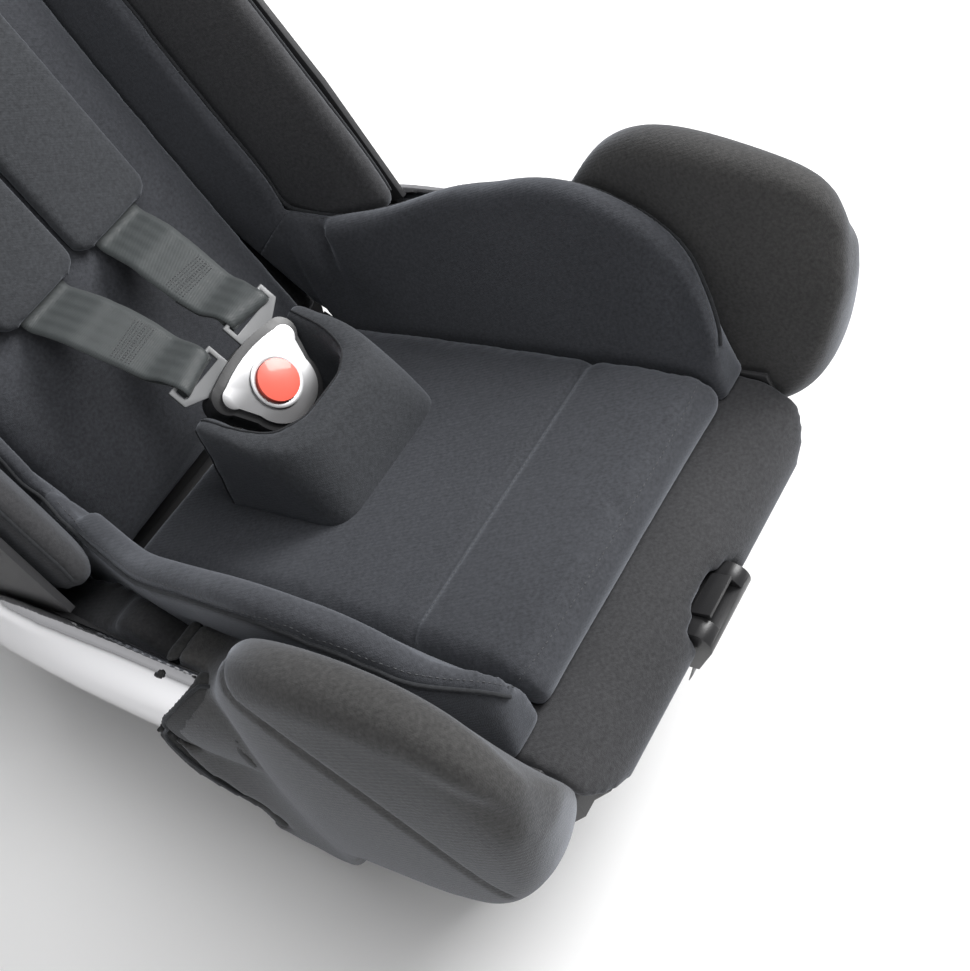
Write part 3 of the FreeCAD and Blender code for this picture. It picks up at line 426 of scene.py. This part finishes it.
def puff(obj, pressure=4.0, cap=0.006, frames=20):
    """A short cloth run under pressure, with no point moved further than the cap."""
    before = np.array([v.co[:] for v in obj.data.vertices])
    m = obj.modifiers.new("cloth", "CLOTH")
    m.settings.use_pressure = True
    m.settings.uniform_pressure_force = pressure
    m.settings.effector_weights.gravity = 0.0
    m.settings.quality = 4
    m.settings.mass = 0.3
    m.settings.tension_stiffness = 25
    m.settings.compression_stiffness = 25
    m.settings.bending_stiffness = 2
    m.collision_settings.use_collision = False
    m.point_cache.frame_start, m.point_cache.frame_end = 1, frames
    for f in range(1, frames + 1):
        bpy.context.scene.frame_set(f)
    deps = bpy.context.evaluated_depsgraph_get()
    after = np.array([v.co[:] for v in obj.evaluated_get(deps).data.vertices])
    obj.modifiers.clear()
    bpy.context.scene.frame_set(1)
    move = after - before
    length = np.linalg.norm(move, axis=1, keepdims=True)
    move *= np.minimum(1.0, cap / np.maximum(length, 1e-9))
    set_coords(obj, before + move)
    return obj

def refine(obj, levels=1):
    if levels:
        m = obj.modifiers.new("subdivide", "SUBSURF")
        m.levels = m.render_levels = levels
        bake(obj)
    return obj

def line_distance(points, path):
    """Distance of every point from a polyline."""
    best = np.full(len(points), 1e9)
    for a, b in zip(path[:-1], path[1:]):
        a, b = np.array(a), np.array(b)
        ab = b - a
        t = np.clip(((points - a) @ ab) / max(ab @ ab, 1e-12), 0, 1)
        best = np.minimum(best, np.linalg.norm(points - a - t[:, None] * ab, axis=1))
    return best

def groove(obj, path, width=0.0035, depth=0.0025):
    """Press a sewn channel into the skin along a path that lies near it."""
    co, no = coords(obj), normals(obj)
    fall = np.exp(-(line_distance(co, path) / width) ** 2)
    co -= no * (fall * depth)[:, None]
    set_coords(obj, co)

def swell(obj, path, width=0.02, rise=0.003):
    groove(obj, path, width, -rise)

def finish_soft(node, levels):
    """Refines a foam piece, clothes it and hands it over in place of its solid."""
    obj = refine(MADE[node], levels)
    paint(obj, KNIT[slot_of[node]])
    shade_smooth(obj)
    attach(obj, body_of[node])
    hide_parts(node)
    return obj

# %% [markdown]
# ## Paths that lie on a surface
# Piping, seams and stitches all follow the skin. A path is written roughly in seat
# millimetres, smoothed, then each of its points is snapped to the nearest place on the
# finished skin. The same path then drives a cord of piping or a row of stitches.

# %% Smooth and snap a path
def smooth_path(points, count=80):
    """A Catmull-Rom curve through the points, at even steps."""
    pts = [np.array(p) for p in points]
    pts = [2 * pts[0] - pts[1]] + pts + [2 * pts[-1] - pts[-2]]
    dense = []
    for i in range(1, len(pts) - 2):
        for t in np.linspace(0, 1, 24, endpoint=False):
            a, b, c, d = pts[i - 1], pts[i], pts[i + 1], pts[i + 2]
            dense.append(0.5 * (2 * b + (c - a) * t + (2 * a - 5 * b + 4 * c - d) * t * t
                                + (3 * b - a - 3 * c + d) * t ** 3))
    dense.append(pts[-2])
    dense = np.array(dense)
    run = np.concatenate([[0], np.cumsum(np.linalg.norm(np.diff(dense, axis=0), axis=1))])
    at = np.linspace(0, run[-1], count)
    return np.stack([np.interp(at, run, dense[:, k]) for k in range(3)], 1)

def snapped(obj, path, lift=0.0):
    bm = bmesh.new()
    bm.from_mesh(obj.data)
    tree = BVHTree.FromBMesh(bm)
    out = []
    for p in path:
        hit, normal, _, _ = tree.find_nearest(Vector(p))
        out.append(np.array(hit + normal * lift))
    bm.free()
    out = np.array(out)
    for _ in range(2):
        out[1:-1] = (out[:-2] + 2 * out[1:-1] + out[2:]) / 4
    return out

def on_skin(obj, points, count, lift=0.0):
    return snapped(obj, smooth_path(points, count), lift)

def seat_line(points, sign=1):
    """Seat millimetres (x, y, z) as world points, with x mirrored where sign is -1."""
    return [tuple(seat(sign * x, y, z)) for x, y, z in points]

def rest_line(points, sign=1):
    """Backrest millimetres (height, how far in front of the face, x) as world points."""
    return [tuple(rest(sign * x, -front, s)) for s, front, x in points]

def tube_along(name, path, radius, material, node):
    """A round cord along a path, on the same body as a solid."""
    curve = bpy.data.curves.new(name, "CURVE")
    curve.dimensions = "3D"
    spline = curve.splines.new("POLY")
    spline.points.add(len(path) - 1)
    for point, p in zip(spline.points, path):
        point.co = (*p, 1)
    curve.bevel_depth, curve.bevel_resolution, curve.use_fill_caps = radius, 2, True
    holder = link(name, curve)
    deps = bpy.context.evaluated_depsgraph_get()
    mesh = bpy.data.meshes.new_from_object(holder.evaluated_get(deps))
    bpy.data.objects.remove(holder)
    obj = link(name, mesh, material)
    shade_smooth(obj)
    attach(obj, body_of[node])
    return obj

# %% [markdown]
# ## Stitches by Geometry Nodes
# A seam is one short stitch repeated hundreds of times, which is what Geometry Nodes
# are for. The tree turns a path into points a stitch apart, sets a small capsule on
# each, turned along the path, and ends in real mesh with its thread material.

# %% The stitch tree
def stitch_tree():
    tree = bpy.data.node_groups.new("stitch_row", "GeometryNodeTree")
    face = tree.interface
    face.new_socket("Geometry", in_out="INPUT", socket_type="NodeSocketGeometry")
    pitch = face.new_socket("Pitch", in_out="INPUT", socket_type="NodeSocketFloat")
    length = face.new_socket("Length", in_out="INPUT", socket_type="NodeSocketFloat")
    thick = face.new_socket("Thickness", in_out="INPUT", socket_type="NodeSocketFloat")
    thread = face.new_socket("Thread", in_out="INPUT", socket_type="NodeSocketMaterial")
    face.new_socket("Geometry", in_out="OUTPUT", socket_type="NodeSocketGeometry")
    for sock, value in ((pitch, 0.0035), (length, 0.0024), (thick, 0.00035)):
        sock.default_value = value
    n = tree.nodes
    start, end = n.new("NodeGroupInput"), n.new("NodeGroupOutput")
    to_curve = n.new("GeometryNodeMeshToCurve")
    points = n.new("GeometryNodeCurveToPoints"); points.mode = "LENGTH"
    shape = n.new("GeometryNodeMeshUVSphere")
    shape.inputs["Segments"].default_value, shape.inputs["Rings"].default_value = 6, 4
    shape.inputs["Radius"].default_value = 1.0
    half = n.new("ShaderNodeMath"); half.operation = "MULTIPLY"; half.inputs[1].default_value = 0.5
    size = n.new("ShaderNodeCombineXYZ")
    place = n.new("GeometryNodeInstanceOnPoints")
    real = n.new("GeometryNodeRealizeInstances")
    paint = n.new("GeometryNodeSetMaterial")
    smooth = n.new("GeometryNodeSetShadeSmooth")
    w = tree.links.new
    w(start.outputs["Geometry"], to_curve.inputs[0])
    w(to_curve.outputs[0], points.inputs["Curve"])
    w(start.outputs["Pitch"], points.inputs["Length"])
    w(points.outputs["Points"], place.inputs["Points"])
    w(points.outputs["Rotation"], place.inputs["Rotation"])
    w(start.outputs["Length"], half.inputs[0])
    w(start.outputs["Thickness"], size.inputs["X"])
    w(start.outputs["Thickness"], size.inputs["Y"])
    w(half.outputs[0], size.inputs["Z"])
    w(size.outputs[0], place.inputs["Scale"])
    w(shape.outputs["Mesh"], place.inputs["Instance"])
    w(place.outputs[0], real.inputs[0])
    w(real.outputs[0], smooth.inputs[0])
    w(smooth.outputs[0], paint.inputs[0])
    w(start.outputs["Thread"], paint.inputs["Material"])
    w(paint.outputs[0], end.inputs[0])
    return tree, {"Pitch": pitch.identifier, "Length": length.identifier,
                  "Thickness": thick.identifier, "Thread": thread.identifier}

STITCH_TREE, STITCH_ID = stitch_tree()
ROWS = {}

def thread_rows(name, rows, pitch, length, thick):
    """One mesh of thread, from rows of points."""
    verts, edges = [], []
    for row in rows:
        start = len(verts)
        verts += [tuple(p) for p in row]
        edges += [(start + k, start + k + 1) for k in range(len(row) - 1)]
    mesh = bpy.data.meshes.new(name)
    mesh.from_pydata(verts, edges, [])
    obj = link(name, mesh)
    m = obj.modifiers.new("stitches", "NODES")
    m.node_group = STITCH_TREE
    for key, value in (("Pitch", pitch), ("Length", length), ("Thickness", thick), ("Thread", THREAD)):
        m[STITCH_ID[key]] = value
    return bake(obj)

def stitch(path, body, pitch=0.0035, length=0.0024, thick=0.00035):
    """Collects rows by body, so that each body gets one mesh of thread a pitch."""
    ROWS.setdefault((body, pitch, length, thick), []).append(np.array(path))

def sew_all():
    made = []
    for i, ((body, *sizes), rows) in enumerate(sorted(ROWS.items(), key=lambda r: str(r[0]))):
        obj = thread_rows("stitches_%s_%d" % (body, i), rows, *sizes)
        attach(obj, body)
        made.append((obj.name, len(obj.data.polygons)))
    return made

# %% [markdown]
# ## The seat insert: cushion
# A removable jersey cushion lies on the seat: flat on its underside, crowned on top,
# drawn in at its front edge by a stitched groove and split by one seam across the thighs.

# %% Insert cushion
JUST_ABOVE = 0.0001     # thread lies this far out of the skin
CROSS_SEAM = [(-122, -213, 3), (-60, -213, 4), (0, -213, 5), (60, -213, 4), (122, -213, 3)]
THIGH_ROLL = [(-110, -255, 3), (0, -255, 4), (110, -255, 3)]
FRONT_EDGE = [(-121, -296, -3), (-60, -301, -3), (0, -302, -3), (60, -301, -3), (121, -296, -3)]

cushion = soften("insert_seat_cushion", "insert_cushion", smooth=8, grow=0.0022)
puff(cushion, cap=0.004)
refine(cushion, 1)
cross_seam = on_skin(cushion, seat_line(CROSS_SEAM), 90)
groove(cushion, cross_seam, 0.0042, 0.0034)
swell(cushion, smooth_path(seat_line(THIGH_ROLL)), 0.03, 0.002)
front_edge = on_skin(cushion, seat_line(FRONT_EDGE), 90)
groove(cushion, front_edge, 0.003, 0.0012)
finish_soft("insert_seat_cushion", 0)
beside_seam = cross_seam + np.array(seat_dir(0, -1, 0)) * 0.0028
behind_edge = front_edge + np.array(seat_dir(0, 1, 1)) * 0.004
stitch(snapped(cushion, beside_seam, JUST_ABOVE), "seat")
stitch(snapped(cushion, behind_edge, JUST_ABOVE), "seat", pitch=0.0045)
print("insert cushion", len(cushion.data.polygons))

# %% [markdown]
# ## The seat insert: side bolsters and wings
# Deep foam sides hold the hips. Their outer top edge carries a cord of piping, which
# dips at the seat's bite and climbs again along the backrest wings.

# %% Bolsters
# The bolster's piping as (y, z, x), and the wing's as (height, in front of the face, x).
PIPE = [(-303, 14, 139), (-300, 30, 148), (-292, 44, 158), (-280, 60, 170), (-262, 79, 181),
        (-237, 93, 187), (-200, 104, 189), (-150, 103, 187), (-107, 97, 182), (-71, 89, 175),
        (-31, 83, 164), (4, 83, 154), (24, 90, 148)]
WING_EDGE = [(100, 38, 147), (130, 42, 147), (170, 43, 146), (240, 41, 147), (320, 31, 149), (362, 17, 149)]
# Inner fold where the bolster turns up into the wing, and the bridge's two end outlines.
FOLD = [(126, 40, 4), (127, 42, 40), (131, 40, 74), (139, 36, 98), (148, 42, 96)]
BRIDGE_LOW = [(127.5, 20, -24), (127.5, 20, 20), (129, 22, 50), (136, 24, 82),
              (141, 25, 88), (146, 25, 82), (154, 20, 0), (154, 20, -24)]
BRIDGE_HIGH = [(127.5, 24), (127.5, 2), (128.5, -8), (132, -22), (136, -34), (143, -36), (149, 0), (150, 24)]
BRIDGE_TOP = 106
SPLIT_TILT = math.radians(40)

def bridge(sign):
    """Foam that carries the bolster's rear end round into the trunk wing."""
    low = [seat(sign * x, y, z) for x, y, z in BRIDGE_LOW]
    high = [rest(sign * x, t, BRIDGE_TOP) for x, t in BRIDGE_HIGH]
    bm = bmesh.new()
    rings = []
    for k in np.linspace(0, 1, 7):
        rings.append([bm.verts.new(Vector(a).lerp(b, float(k))) for a, b in zip(low, high)])
    for a, b in zip(rings[:-1], rings[1:]):
        for i in range(len(a)):
            j = (i + 1) % len(a)
            bm.faces.new((a[i], a[j], b[j], b[i]))
    bm.faces.new(rings[0])
    bm.faces.new(rings[-1])
    bmesh.ops.recalc_face_normals(bm, faces=bm.faces)
    mesh = bpy.data.meshes.new("bridge")
    bm.to_mesh(mesh)
    bm.free()
    return mesh

def cut_at(obj, point, normal, keep_front):
    """Cuts an object on a plane, keeps one side of it and closes the cut."""
    bm = bmesh.new()
    bm.from_mesh(obj.data)
    bmesh.ops.bisect_plane(bm, geom=list(bm.verts) + list(bm.edges) + list(bm.faces), plane_co=point,
                           plane_no=normal, clear_inner=keep_front, clear_outer=not keep_front)
    bmesh.ops.holes_fill(bm, edges=[e for e in bm.edges if e.is_boundary])
    bm.to_mesh(obj.data)
    bm.free()

for name, sign in SIDES:
    low, high = "insert_bolster_" + name, "insert_wing_" + name
    both = merged_copy(low, "hip_bolster_" + name)
    other = merged_copy(high, "wing_copy")
    absorb(both, other.data, bridge(sign))
    bpy.data.objects.remove(other)
    foam(both, 0.0034, 9)
    fatten(both, 0.001)
    line = seat_line([(x, y, z) for y, z, x in PIPE], sign) + rest_line(WING_EDGE, sign)
    edge = on_skin(both, line, 260, 0.0005)
    groove(both, edge, 0.0026, 0.0007)
    groove(both, on_skin(both, seat_line(FOLD, sign), 50), 0.004, 0.002)
    wing = both.copy()
    wing.data = both.data.copy()
    wing.name = "trunk_wing_" + name
    bpy.context.scene.collection.objects.link(wing)
    point, normal = seat(0, 36, 96), seat_dir(0, math.sin(SPLIT_TILT), math.cos(SPLIT_TILT))
    cut_at(both, point, normal, False)
    cut_at(wing, point, normal, True)
    MADE[low], MADE[high] = both, wing
    finish_soft(low, 0)
    finish_soft(high, 0)
    tube_along("piping_insert_" + name, edge, 0.0014, PIPING, low)
    inside = edge[:150] + np.array(seat_dir(-sign, 0, 0.2)) * 0.006
    stitch(snapped(both, inside, JUST_ABOVE), "seat", pitch=0.004)
    print(low, len(both.data.polygons), high, len(wing.data.polygons))

# %% [markdown]
# ## The seat insert: back cushion
# The same jersey runs up the back, its face crowned across and pressed by foam.

# %% Back cushion
back = soften("insert_back_cushion", "insert_back", voxel=0.005, smooth=8, grow=0.0022)
puff(back, cap=0.004)
finish_soft("insert_back_cushion", 1)

# %% [markdown]
# ## Outer cover
# The cover is the layer that stays on the seat: a rolled front edge over the shell, a
# flat back panel, two deep torso wings and a small panel behind each arm.

# %% Outer cover pieces
TORSO_EDGE = [(60, 97, 187), (80, 100, 187), (150, 100, 187), (240, 97, 188), (320, 84, 189), (366, 62, 191)]
soften("seat_cover", "pan_cover", voxel=0.004, smooth=5)
finish_soft("seat_cover", 1)
soften("back_cover", "back_panel", voxel=0.005, smooth=4)
finish_soft("back_cover", 0)
for name, sign in SIDES:
    wing = soften("wing_cover_" + name, "torso_wing_" + name, voxel=0.0045, smooth=8)
    refine(wing, 1)
    edge = on_skin(wing, rest_line(TORSO_EDGE, sign), 120, 0.0005)
    finish_soft("wing_cover_" + name, 0)
    tube_along("piping_torso_" + name, edge, 0.0015, PIPING, "wing_cover_" + name)
    soften("side_cover_" + name, "side_panel_" + name, voxel=0.004, smooth=6)
    finish_soft("side_cover_" + name, 1)

# %% [markdown]
# ## Arm sleeves, cuffs and bows
# Each padded sleeve slips over a chrome bow like a mitten. A seam curves over its
# outer face, and a bound cuff closes the end where the bow comes out.

# %% Sleeves
# Where the bow goes into its sleeve: a point (y, z) on each cutting plane and its normal.
MOUTH = (((-150, 66), (0.64, 0.77)), ((-101, 24), (1.0, 0.0)))
SLEEVE_SEAM = [(200, -176, 104), (214, -200, 108), (226, -240, 92), (233, -280, 58),
               (234, -315, 14), (230, -338, -30)]
CUFF_EDGE = [(166, -180, 98), (180, -185, 103), (200, -185, 103), (218, -172, 92), (229, -134, 58),
             (236, -100, 20), (235, -98, -20), (228, -107, -62), (214, -116, -80)]

def bow_end(name, beyond):
    """The part of the bow that hides inside the sleeve, so that the padding closes over it."""
    part = merged_copy("chrome_arm_" + name, "bow_end")
    for (y, z), (dy, dz) in MOUTH:
        cut_at(part, seat(0, y + beyond, z), seat_dir(0, dy, dz), False)
    return part

def padded_over_bow(node, title, name, voxel, smooth, grow, beyond):
    obj = merged_copy(node, title + name)
    part = bow_end(name, beyond)
    absorb(obj, part.data)
    bpy.data.objects.remove(part)
    foam(obj, voxel, smooth)
    fatten(obj, grow)
    MADE[node] = obj
    return obj

for name, sign in SIDES:
    node = "armrest_pad_" + name
    sleeve = padded_over_bow(node, "arm_sleeve_", name, 0.003, 14, 0.0014, -8)
    groove(sleeve, on_skin(sleeve, seat_line(SLEEVE_SEAM, sign), 130), 0.0032, 0.0024)
    finish_soft(node, 0)
    node = "armrest_cuff_" + name
    cuff = padded_over_bow(node, "arm_cuff_", name, 0.0022, 5, 0.0012, 0)
    finish_soft(node, 0)
    rim = on_skin(cuff, seat_line(CUFF_EDGE, sign), 120, 0.0003)
    tube_along("piping_cuff_" + name, rim, 0.0013, PIPING, node)
    bow = merged_copy("chrome_arm_" + name, "bright_bow_" + name)
    foam(bow, 0.0022, 40)
    paint(bow, HARD["bright_chrome"])
    shade_smooth(bow)
    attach(bow, "seat")
    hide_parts("chrome_arm_" + name)

# %% [markdown]
# ## Crotch pad and shoulder pads
# The crotch pad is a pouch that hides the buckle's hard edges. The shoulder pads are
# flat sleeves around the webbing.

# %% Pads
POUCH_CORNER = [(61, -12, 4), (61, -20, 30), (60.5, -25, 60), (58, -30, 84)]
POUCH_MOUTH = [(-52, -30, 92), (-50, -46, 87), (-46, -66, 80), (-34, -84, 73), (-16, -90, 70), (0, -91, 70),
               (16, -90, 70), (34, -84, 73), (46, -66, 80), (50, -46, 87), (52, -30, 92)]
crotch = soften("crotch_pad", "crotch_pouch", voxel=0.0035, smooth=14, grow=0.0016)
finish_soft("crotch_pad", 1)
for name, sign in SIDES:
    edge = on_skin(crotch, seat_line(POUCH_CORNER, sign), 60, 0.0002)
    tube_along("piping_pouch_" + name, edge, 0.0011, PIPING, "crotch_pad")
lip = on_skin(crotch, seat_line(POUCH_MOUTH), 120, 0.0002)
tube_along("piping_mouth", lip, 0.0009, PIPING, "crotch_pad")
for name, sign in SIDES:
    soften("shoulder_pad_" + name, "harness_pad_" + name, voxel=0.0035, smooth=8)
    finish_soft("shoulder_pad_" + name, 1)

# %% [markdown]
# ## Headrest
# Shell, cushion and two wings slide up the backrest together.

# %% Headrest foam
head = soften("headrest_cushion", "headrest_pillow", voxel=0.005, smooth=10, shrink=0.01)
puff(head, cap=0.005)
finish_soft("headrest_cushion", 1)
for name, sign in SIDES:
    soften("headrest_wing_" + name, "headrest_side_" + name, voxel=0.0045, smooth=10)
    finish_soft("headrest_wing_" + name, 1)

# %% [markdown]
# ## Webbing
# Harness webbing is a thin woven band, so it is swept directly instead of being cut from
# a solid. Its UV map is in millimetres, which keeps the ribs of the weave at their real
# pitch. Every station gives a centre, the direction across and a width.

# %% Webbing bands
def band(name, node, stations, thick=1.5, across=10, count=220, replaces=True):
    """Webbing swept through (centre, direction across, width in millimetres) stations."""
    pts, wide, width = [], [], []
    for (p, w, size), (q, w2, size2) in zip(stations[:-1], stations[1:]):
        steps = max(1, int((Vector(q) - Vector(p)).length / 0.011))
        for k in range(steps):
            t = k / steps
            pts.append(tuple(Vector(p).lerp(Vector(q), t)))
            wide.append((1 - t) * np.array(w) + t * np.array(w2))
            width.append((1 - t) * size + t * size2)
    pts.append(tuple(stations[-1][0]))
    wide.append(np.array(stations[-1][1]))
    width.append(stations[-1][2])
    run = np.concatenate([[0], np.cumsum(np.linalg.norm(np.diff(np.array(pts), axis=0), axis=1))])
    centres = smooth_path(pts, count)
    at = np.linspace(0, run[-1], count)
    wide = np.stack([np.interp(at, run, [w[k] for w in wide]) for k in range(3)], 1)
    widths = np.interp(at, run, width) / 1000
    tangent = np.gradient(centres, axis=0)
    tangent /= np.linalg.norm(tangent, axis=1, keepdims=True)
    normal = np.cross(wide, tangent)
    normal /= np.linalg.norm(normal, axis=1, keepdims=True)
    wide = np.cross(tangent, normal)
    ring = [(-0.5 + k / across, 0.5 if 0 < k < across else 0.2) for k in range(across + 1)]
    ring += [(u, -h) for u, h in reversed(ring)]
    verts, faces, n = [], [], len(ring)
    for c, w, m, size in zip(centres, wide, normal, widths):
        verts += [tuple(c + w * size * u + m * thick / 1000 * h) for u, h in ring]
    for i in range(count - 1):
        for k in range(n):
            a, b = i * n + k, i * n + (k + 1) % n
            faces.append((a, b, b + n, a + n))
    faces.append(tuple(range(n))[::-1])
    faces.append(tuple(range((count - 1) * n, count * n)))
    mesh = bpy.data.meshes.new(name)
    mesh.from_pydata(verts, [], faces)
    uv = mesh.uv_layers.new(name="weave")
    length = np.concatenate([[0], np.cumsum(np.linalg.norm(np.diff(centres, axis=0), axis=1))]) * 1000
    for loop in mesh.loops:
        i, k = divmod(loop.vertex_index, n)
        uv.data[loop.index].uv = (ring[k][0] * widths[i] * 1000, length[i])
    obj = link(name, mesh, WEBBING)
    bm = bmesh.new()
    bm.from_mesh(mesh)
    bmesh.ops.recalc_face_normals(bm, faces=bm.faces)
    bm.to_mesh(mesh)
    bm.free()
    shade_smooth(obj)
    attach(obj, body_of[node])
    if replaces:
        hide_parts(node)
    return obj, centres, wide, normal, widths, length

# %% [markdown]
# ## Shoulder straps
# Each strap loops through the slit of its tongue and is sewn back on itself with a
# block of stitches. It climbs to the pad, runs inside it, turns over the edge of its
# slot in the backrest and drops to the steel yoke. The free end below the pad is a
# piece of its own, since it crumples when the tongue is drawn up.

# %% Shoulder straps
BUCKLE_LEAN = math.radians(33.0)
BUCKLE_UP = (0, math.sin(BUCKLE_LEAN), math.cos(BUCKLE_LEAN))
BUCKLE_OUT = (0, -math.cos(BUCKLE_LEAN), math.sin(BUCKLE_LEAN))
PAD_WEB, TONGUE_WEB = 44, 34        # width at the pad and through the tongue's slit
STRAP_X, TONGUE_X = 40, 30          # half spacing at the pad and at the buckle
# The strap behind its pad, over the slot and down to the yoke, as (depth, height).
UPPER_RUN = ((-17, 175), (-17, 260), (-17, 336), (-12, 347), (2, 351.5), (46, 352),
             (54, 347), (56, 338), (56, 240), (56, 171))

def buckle(x, v, w):
    """The buckle's own millimetres: v up its face, w out of it."""
    return seat(x, -50 + BUCKLE_UP[1] * v + BUCKLE_OUT[1] * w, 77 + BUCKLE_UP[2] * v + BUCKLE_OUT[2] * w)

ACROSS = np.array((1.0, 0, 0))
for name, sign in SIDES:
    yaw = np.array(seat_dir(1, 0, 0))
    tilt = np.array(seat_dir(1, 0.20 * -sign, 0.13 * -sign))
    join = rest(sign * STRAP_X, -17, 176)
    lower = [(seat(sign * 31.6, 22, 126.6), yaw, 40), (seat(sign * 31, 8, 116.4), yaw, 38),
             (buckle(sign * TONGUE_X, 52, -14.4), tilt, 35),
             (buckle(sign * TONGUE_X, 42.5, -13.6), tilt, TONGUE_WEB),
             (buckle(sign * TONGUE_X, 38.6, -11.0), tilt, TONGUE_WEB),
             (buckle(sign * TONGUE_X, 41.5, -8.2), tilt, TONGUE_WEB),
             (buckle(sign * TONGUE_X, 48, -8.8), tilt, 34.5),
             (buckle(sign * 30.4, 56, -14), yaw, 36), (seat(sign * 31, 6, 118.6), yaw, 39),
             (seat(sign * 32, 20, 129), yaw, 42), (seat(sign * 34, 34, 139.5), yaw, PAD_WEB),
             (seat(sign * 37, 52, 152), yaw, PAD_WEB), (rest(sign * STRAP_X, -17, 164), yaw, PAD_WEB),
             (join, yaw, PAD_WEB)]
    free, mid, wide, face, widths, length = band("harness_web_free_" + name, "shoulder_strap_" + name,
                                                 lower, count=150)
    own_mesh(free)
    upper = [(rest(sign * STRAP_X, t, s), yaw, PAD_WEB) for t, s in UPPER_RUN]
    band("harness_web_" + name, "shoulder_strap_" + name, upper, replaces=False)
    total = length[-1]
    rows = []
    for row in range(7):
        i = int(np.argmin(abs(length - (total * 0.545 + row * 2.1))))
        rows.append([mid[i] + wide[i] * widths[i] * u * 0.72 + face[i] * 0.00085
                     for u in np.linspace(-0.5, 0.5, 30)])
    block = thread_rows("strap_stitches_" + name, rows, 0.0021, 0.0017, 0.00042)
    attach(block, "seat")
    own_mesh(block)
    print("strap", name, "free length", round(total), "mm")

# %% [markdown]
# ## Crotch strap and adjuster strap
# One band holds the buckle down through the cushion; another runs under the seat and
# out through the adjuster at the front, where it ends in a folded hem.

# %% Lower straps
LOWER_WEB = 38
crotch_run = [buckle(0, -24, -19.3), buckle(0, -38, -19.3)]
crotch_run += [seat(0, -76, z) for z in (30, 0, -50.6)]
band("crotch_web", "crotch_strap", [(p, ACROSS, LOWER_WEB) for p in crotch_run], count=60)
pull = [rest(0, 56, 141.6), rest(0, 56, 0)]
pull += [seat(0, y, z) for y, z in ((100, -34), (86, -51), (56, -58), (16, -74), (-290, -74), (-308, -67),
                                    (-322, -66), (-334, -69.2), (-341, -74), (-343.5, -80),
                                    (-335, -98), (-323, -118), (-313, -140))]
band("adjuster_web", "adjuster_strap", [(p, ACROSS, LOWER_WEB) for p in pull], count=240)

# %% [markdown]
# ## Moulded and pressed parts
# Nothing moulded has a knife edge. Each hard part is a merged copy of its solid with a
# small bevel on its sharp edges, so that light catches every rim, and a shading split
# where faces meet at a steep angle.

# %% Bevelled hard parts
def mould(node, bevel, crease=32, segments=2):
    """A hard part with its rims bevelled wherever two faces meet more steeply than the crease."""
    obj = merged_copy(node, node + "_dressed")
    m = obj.modifiers.new("rim", "BEVEL")
    m.width, m.segments, m.limit_method = bevel, segments, "ANGLE"
    m.angle_limit = math.radians(crease)
    m.use_clamp_overlap = True
    bake(obj)
    paint(obj, HARD[slot_of[node]])
    shade_smooth(obj)
    obj.data.set_sharp_from_angle(angle=math.radians(38))
    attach(obj, body_of[node])
    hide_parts(node)
    return obj

BEVELS = {
    "buckle_face": 0.0009, "buckle_housing": 0.0016, "buckle_button": 0.0009,
    "tongue_left": 0.0006, "tongue_right": 0.0006, "adjuster_housing": 0.0012, "adjuster_button": 0.0008,
    "belt_clamp_left": 0.0009, "belt_clamp_right": 0.0009, "recline_handle": 0.0012,
    "headrest_handle": 0.0010, "seat_shell_pan": 0.0012, "seat_shell_back": 0.0012,
    "base_shell": 0.0016, "base_foot": 0.0012, "front_fascia": 0.0010, "headrest_shell": 0.0012,
    "side_frame_left": 0.0010, "side_frame_right": 0.0010, "harness_yoke": 0.0005,
    "recline_guide": 0.0006, "track_left": 0.0004, "track_right": 0.0004, "runner_left": 0.0004,
    "runner_right": 0.0004, "recline_rack": 0.0004, "crotch_anchor": 0.0006}
for node, bevel in BEVELS.items():
    mould(node, bevel)
print("moulded parts", len(BEVELS))

# %% [markdown]
# ## Sewing
# So far the rows of stitches were only collected. Here they are sewn, a mesh for each pitch.

# %% Sew everything
print(sew_all())
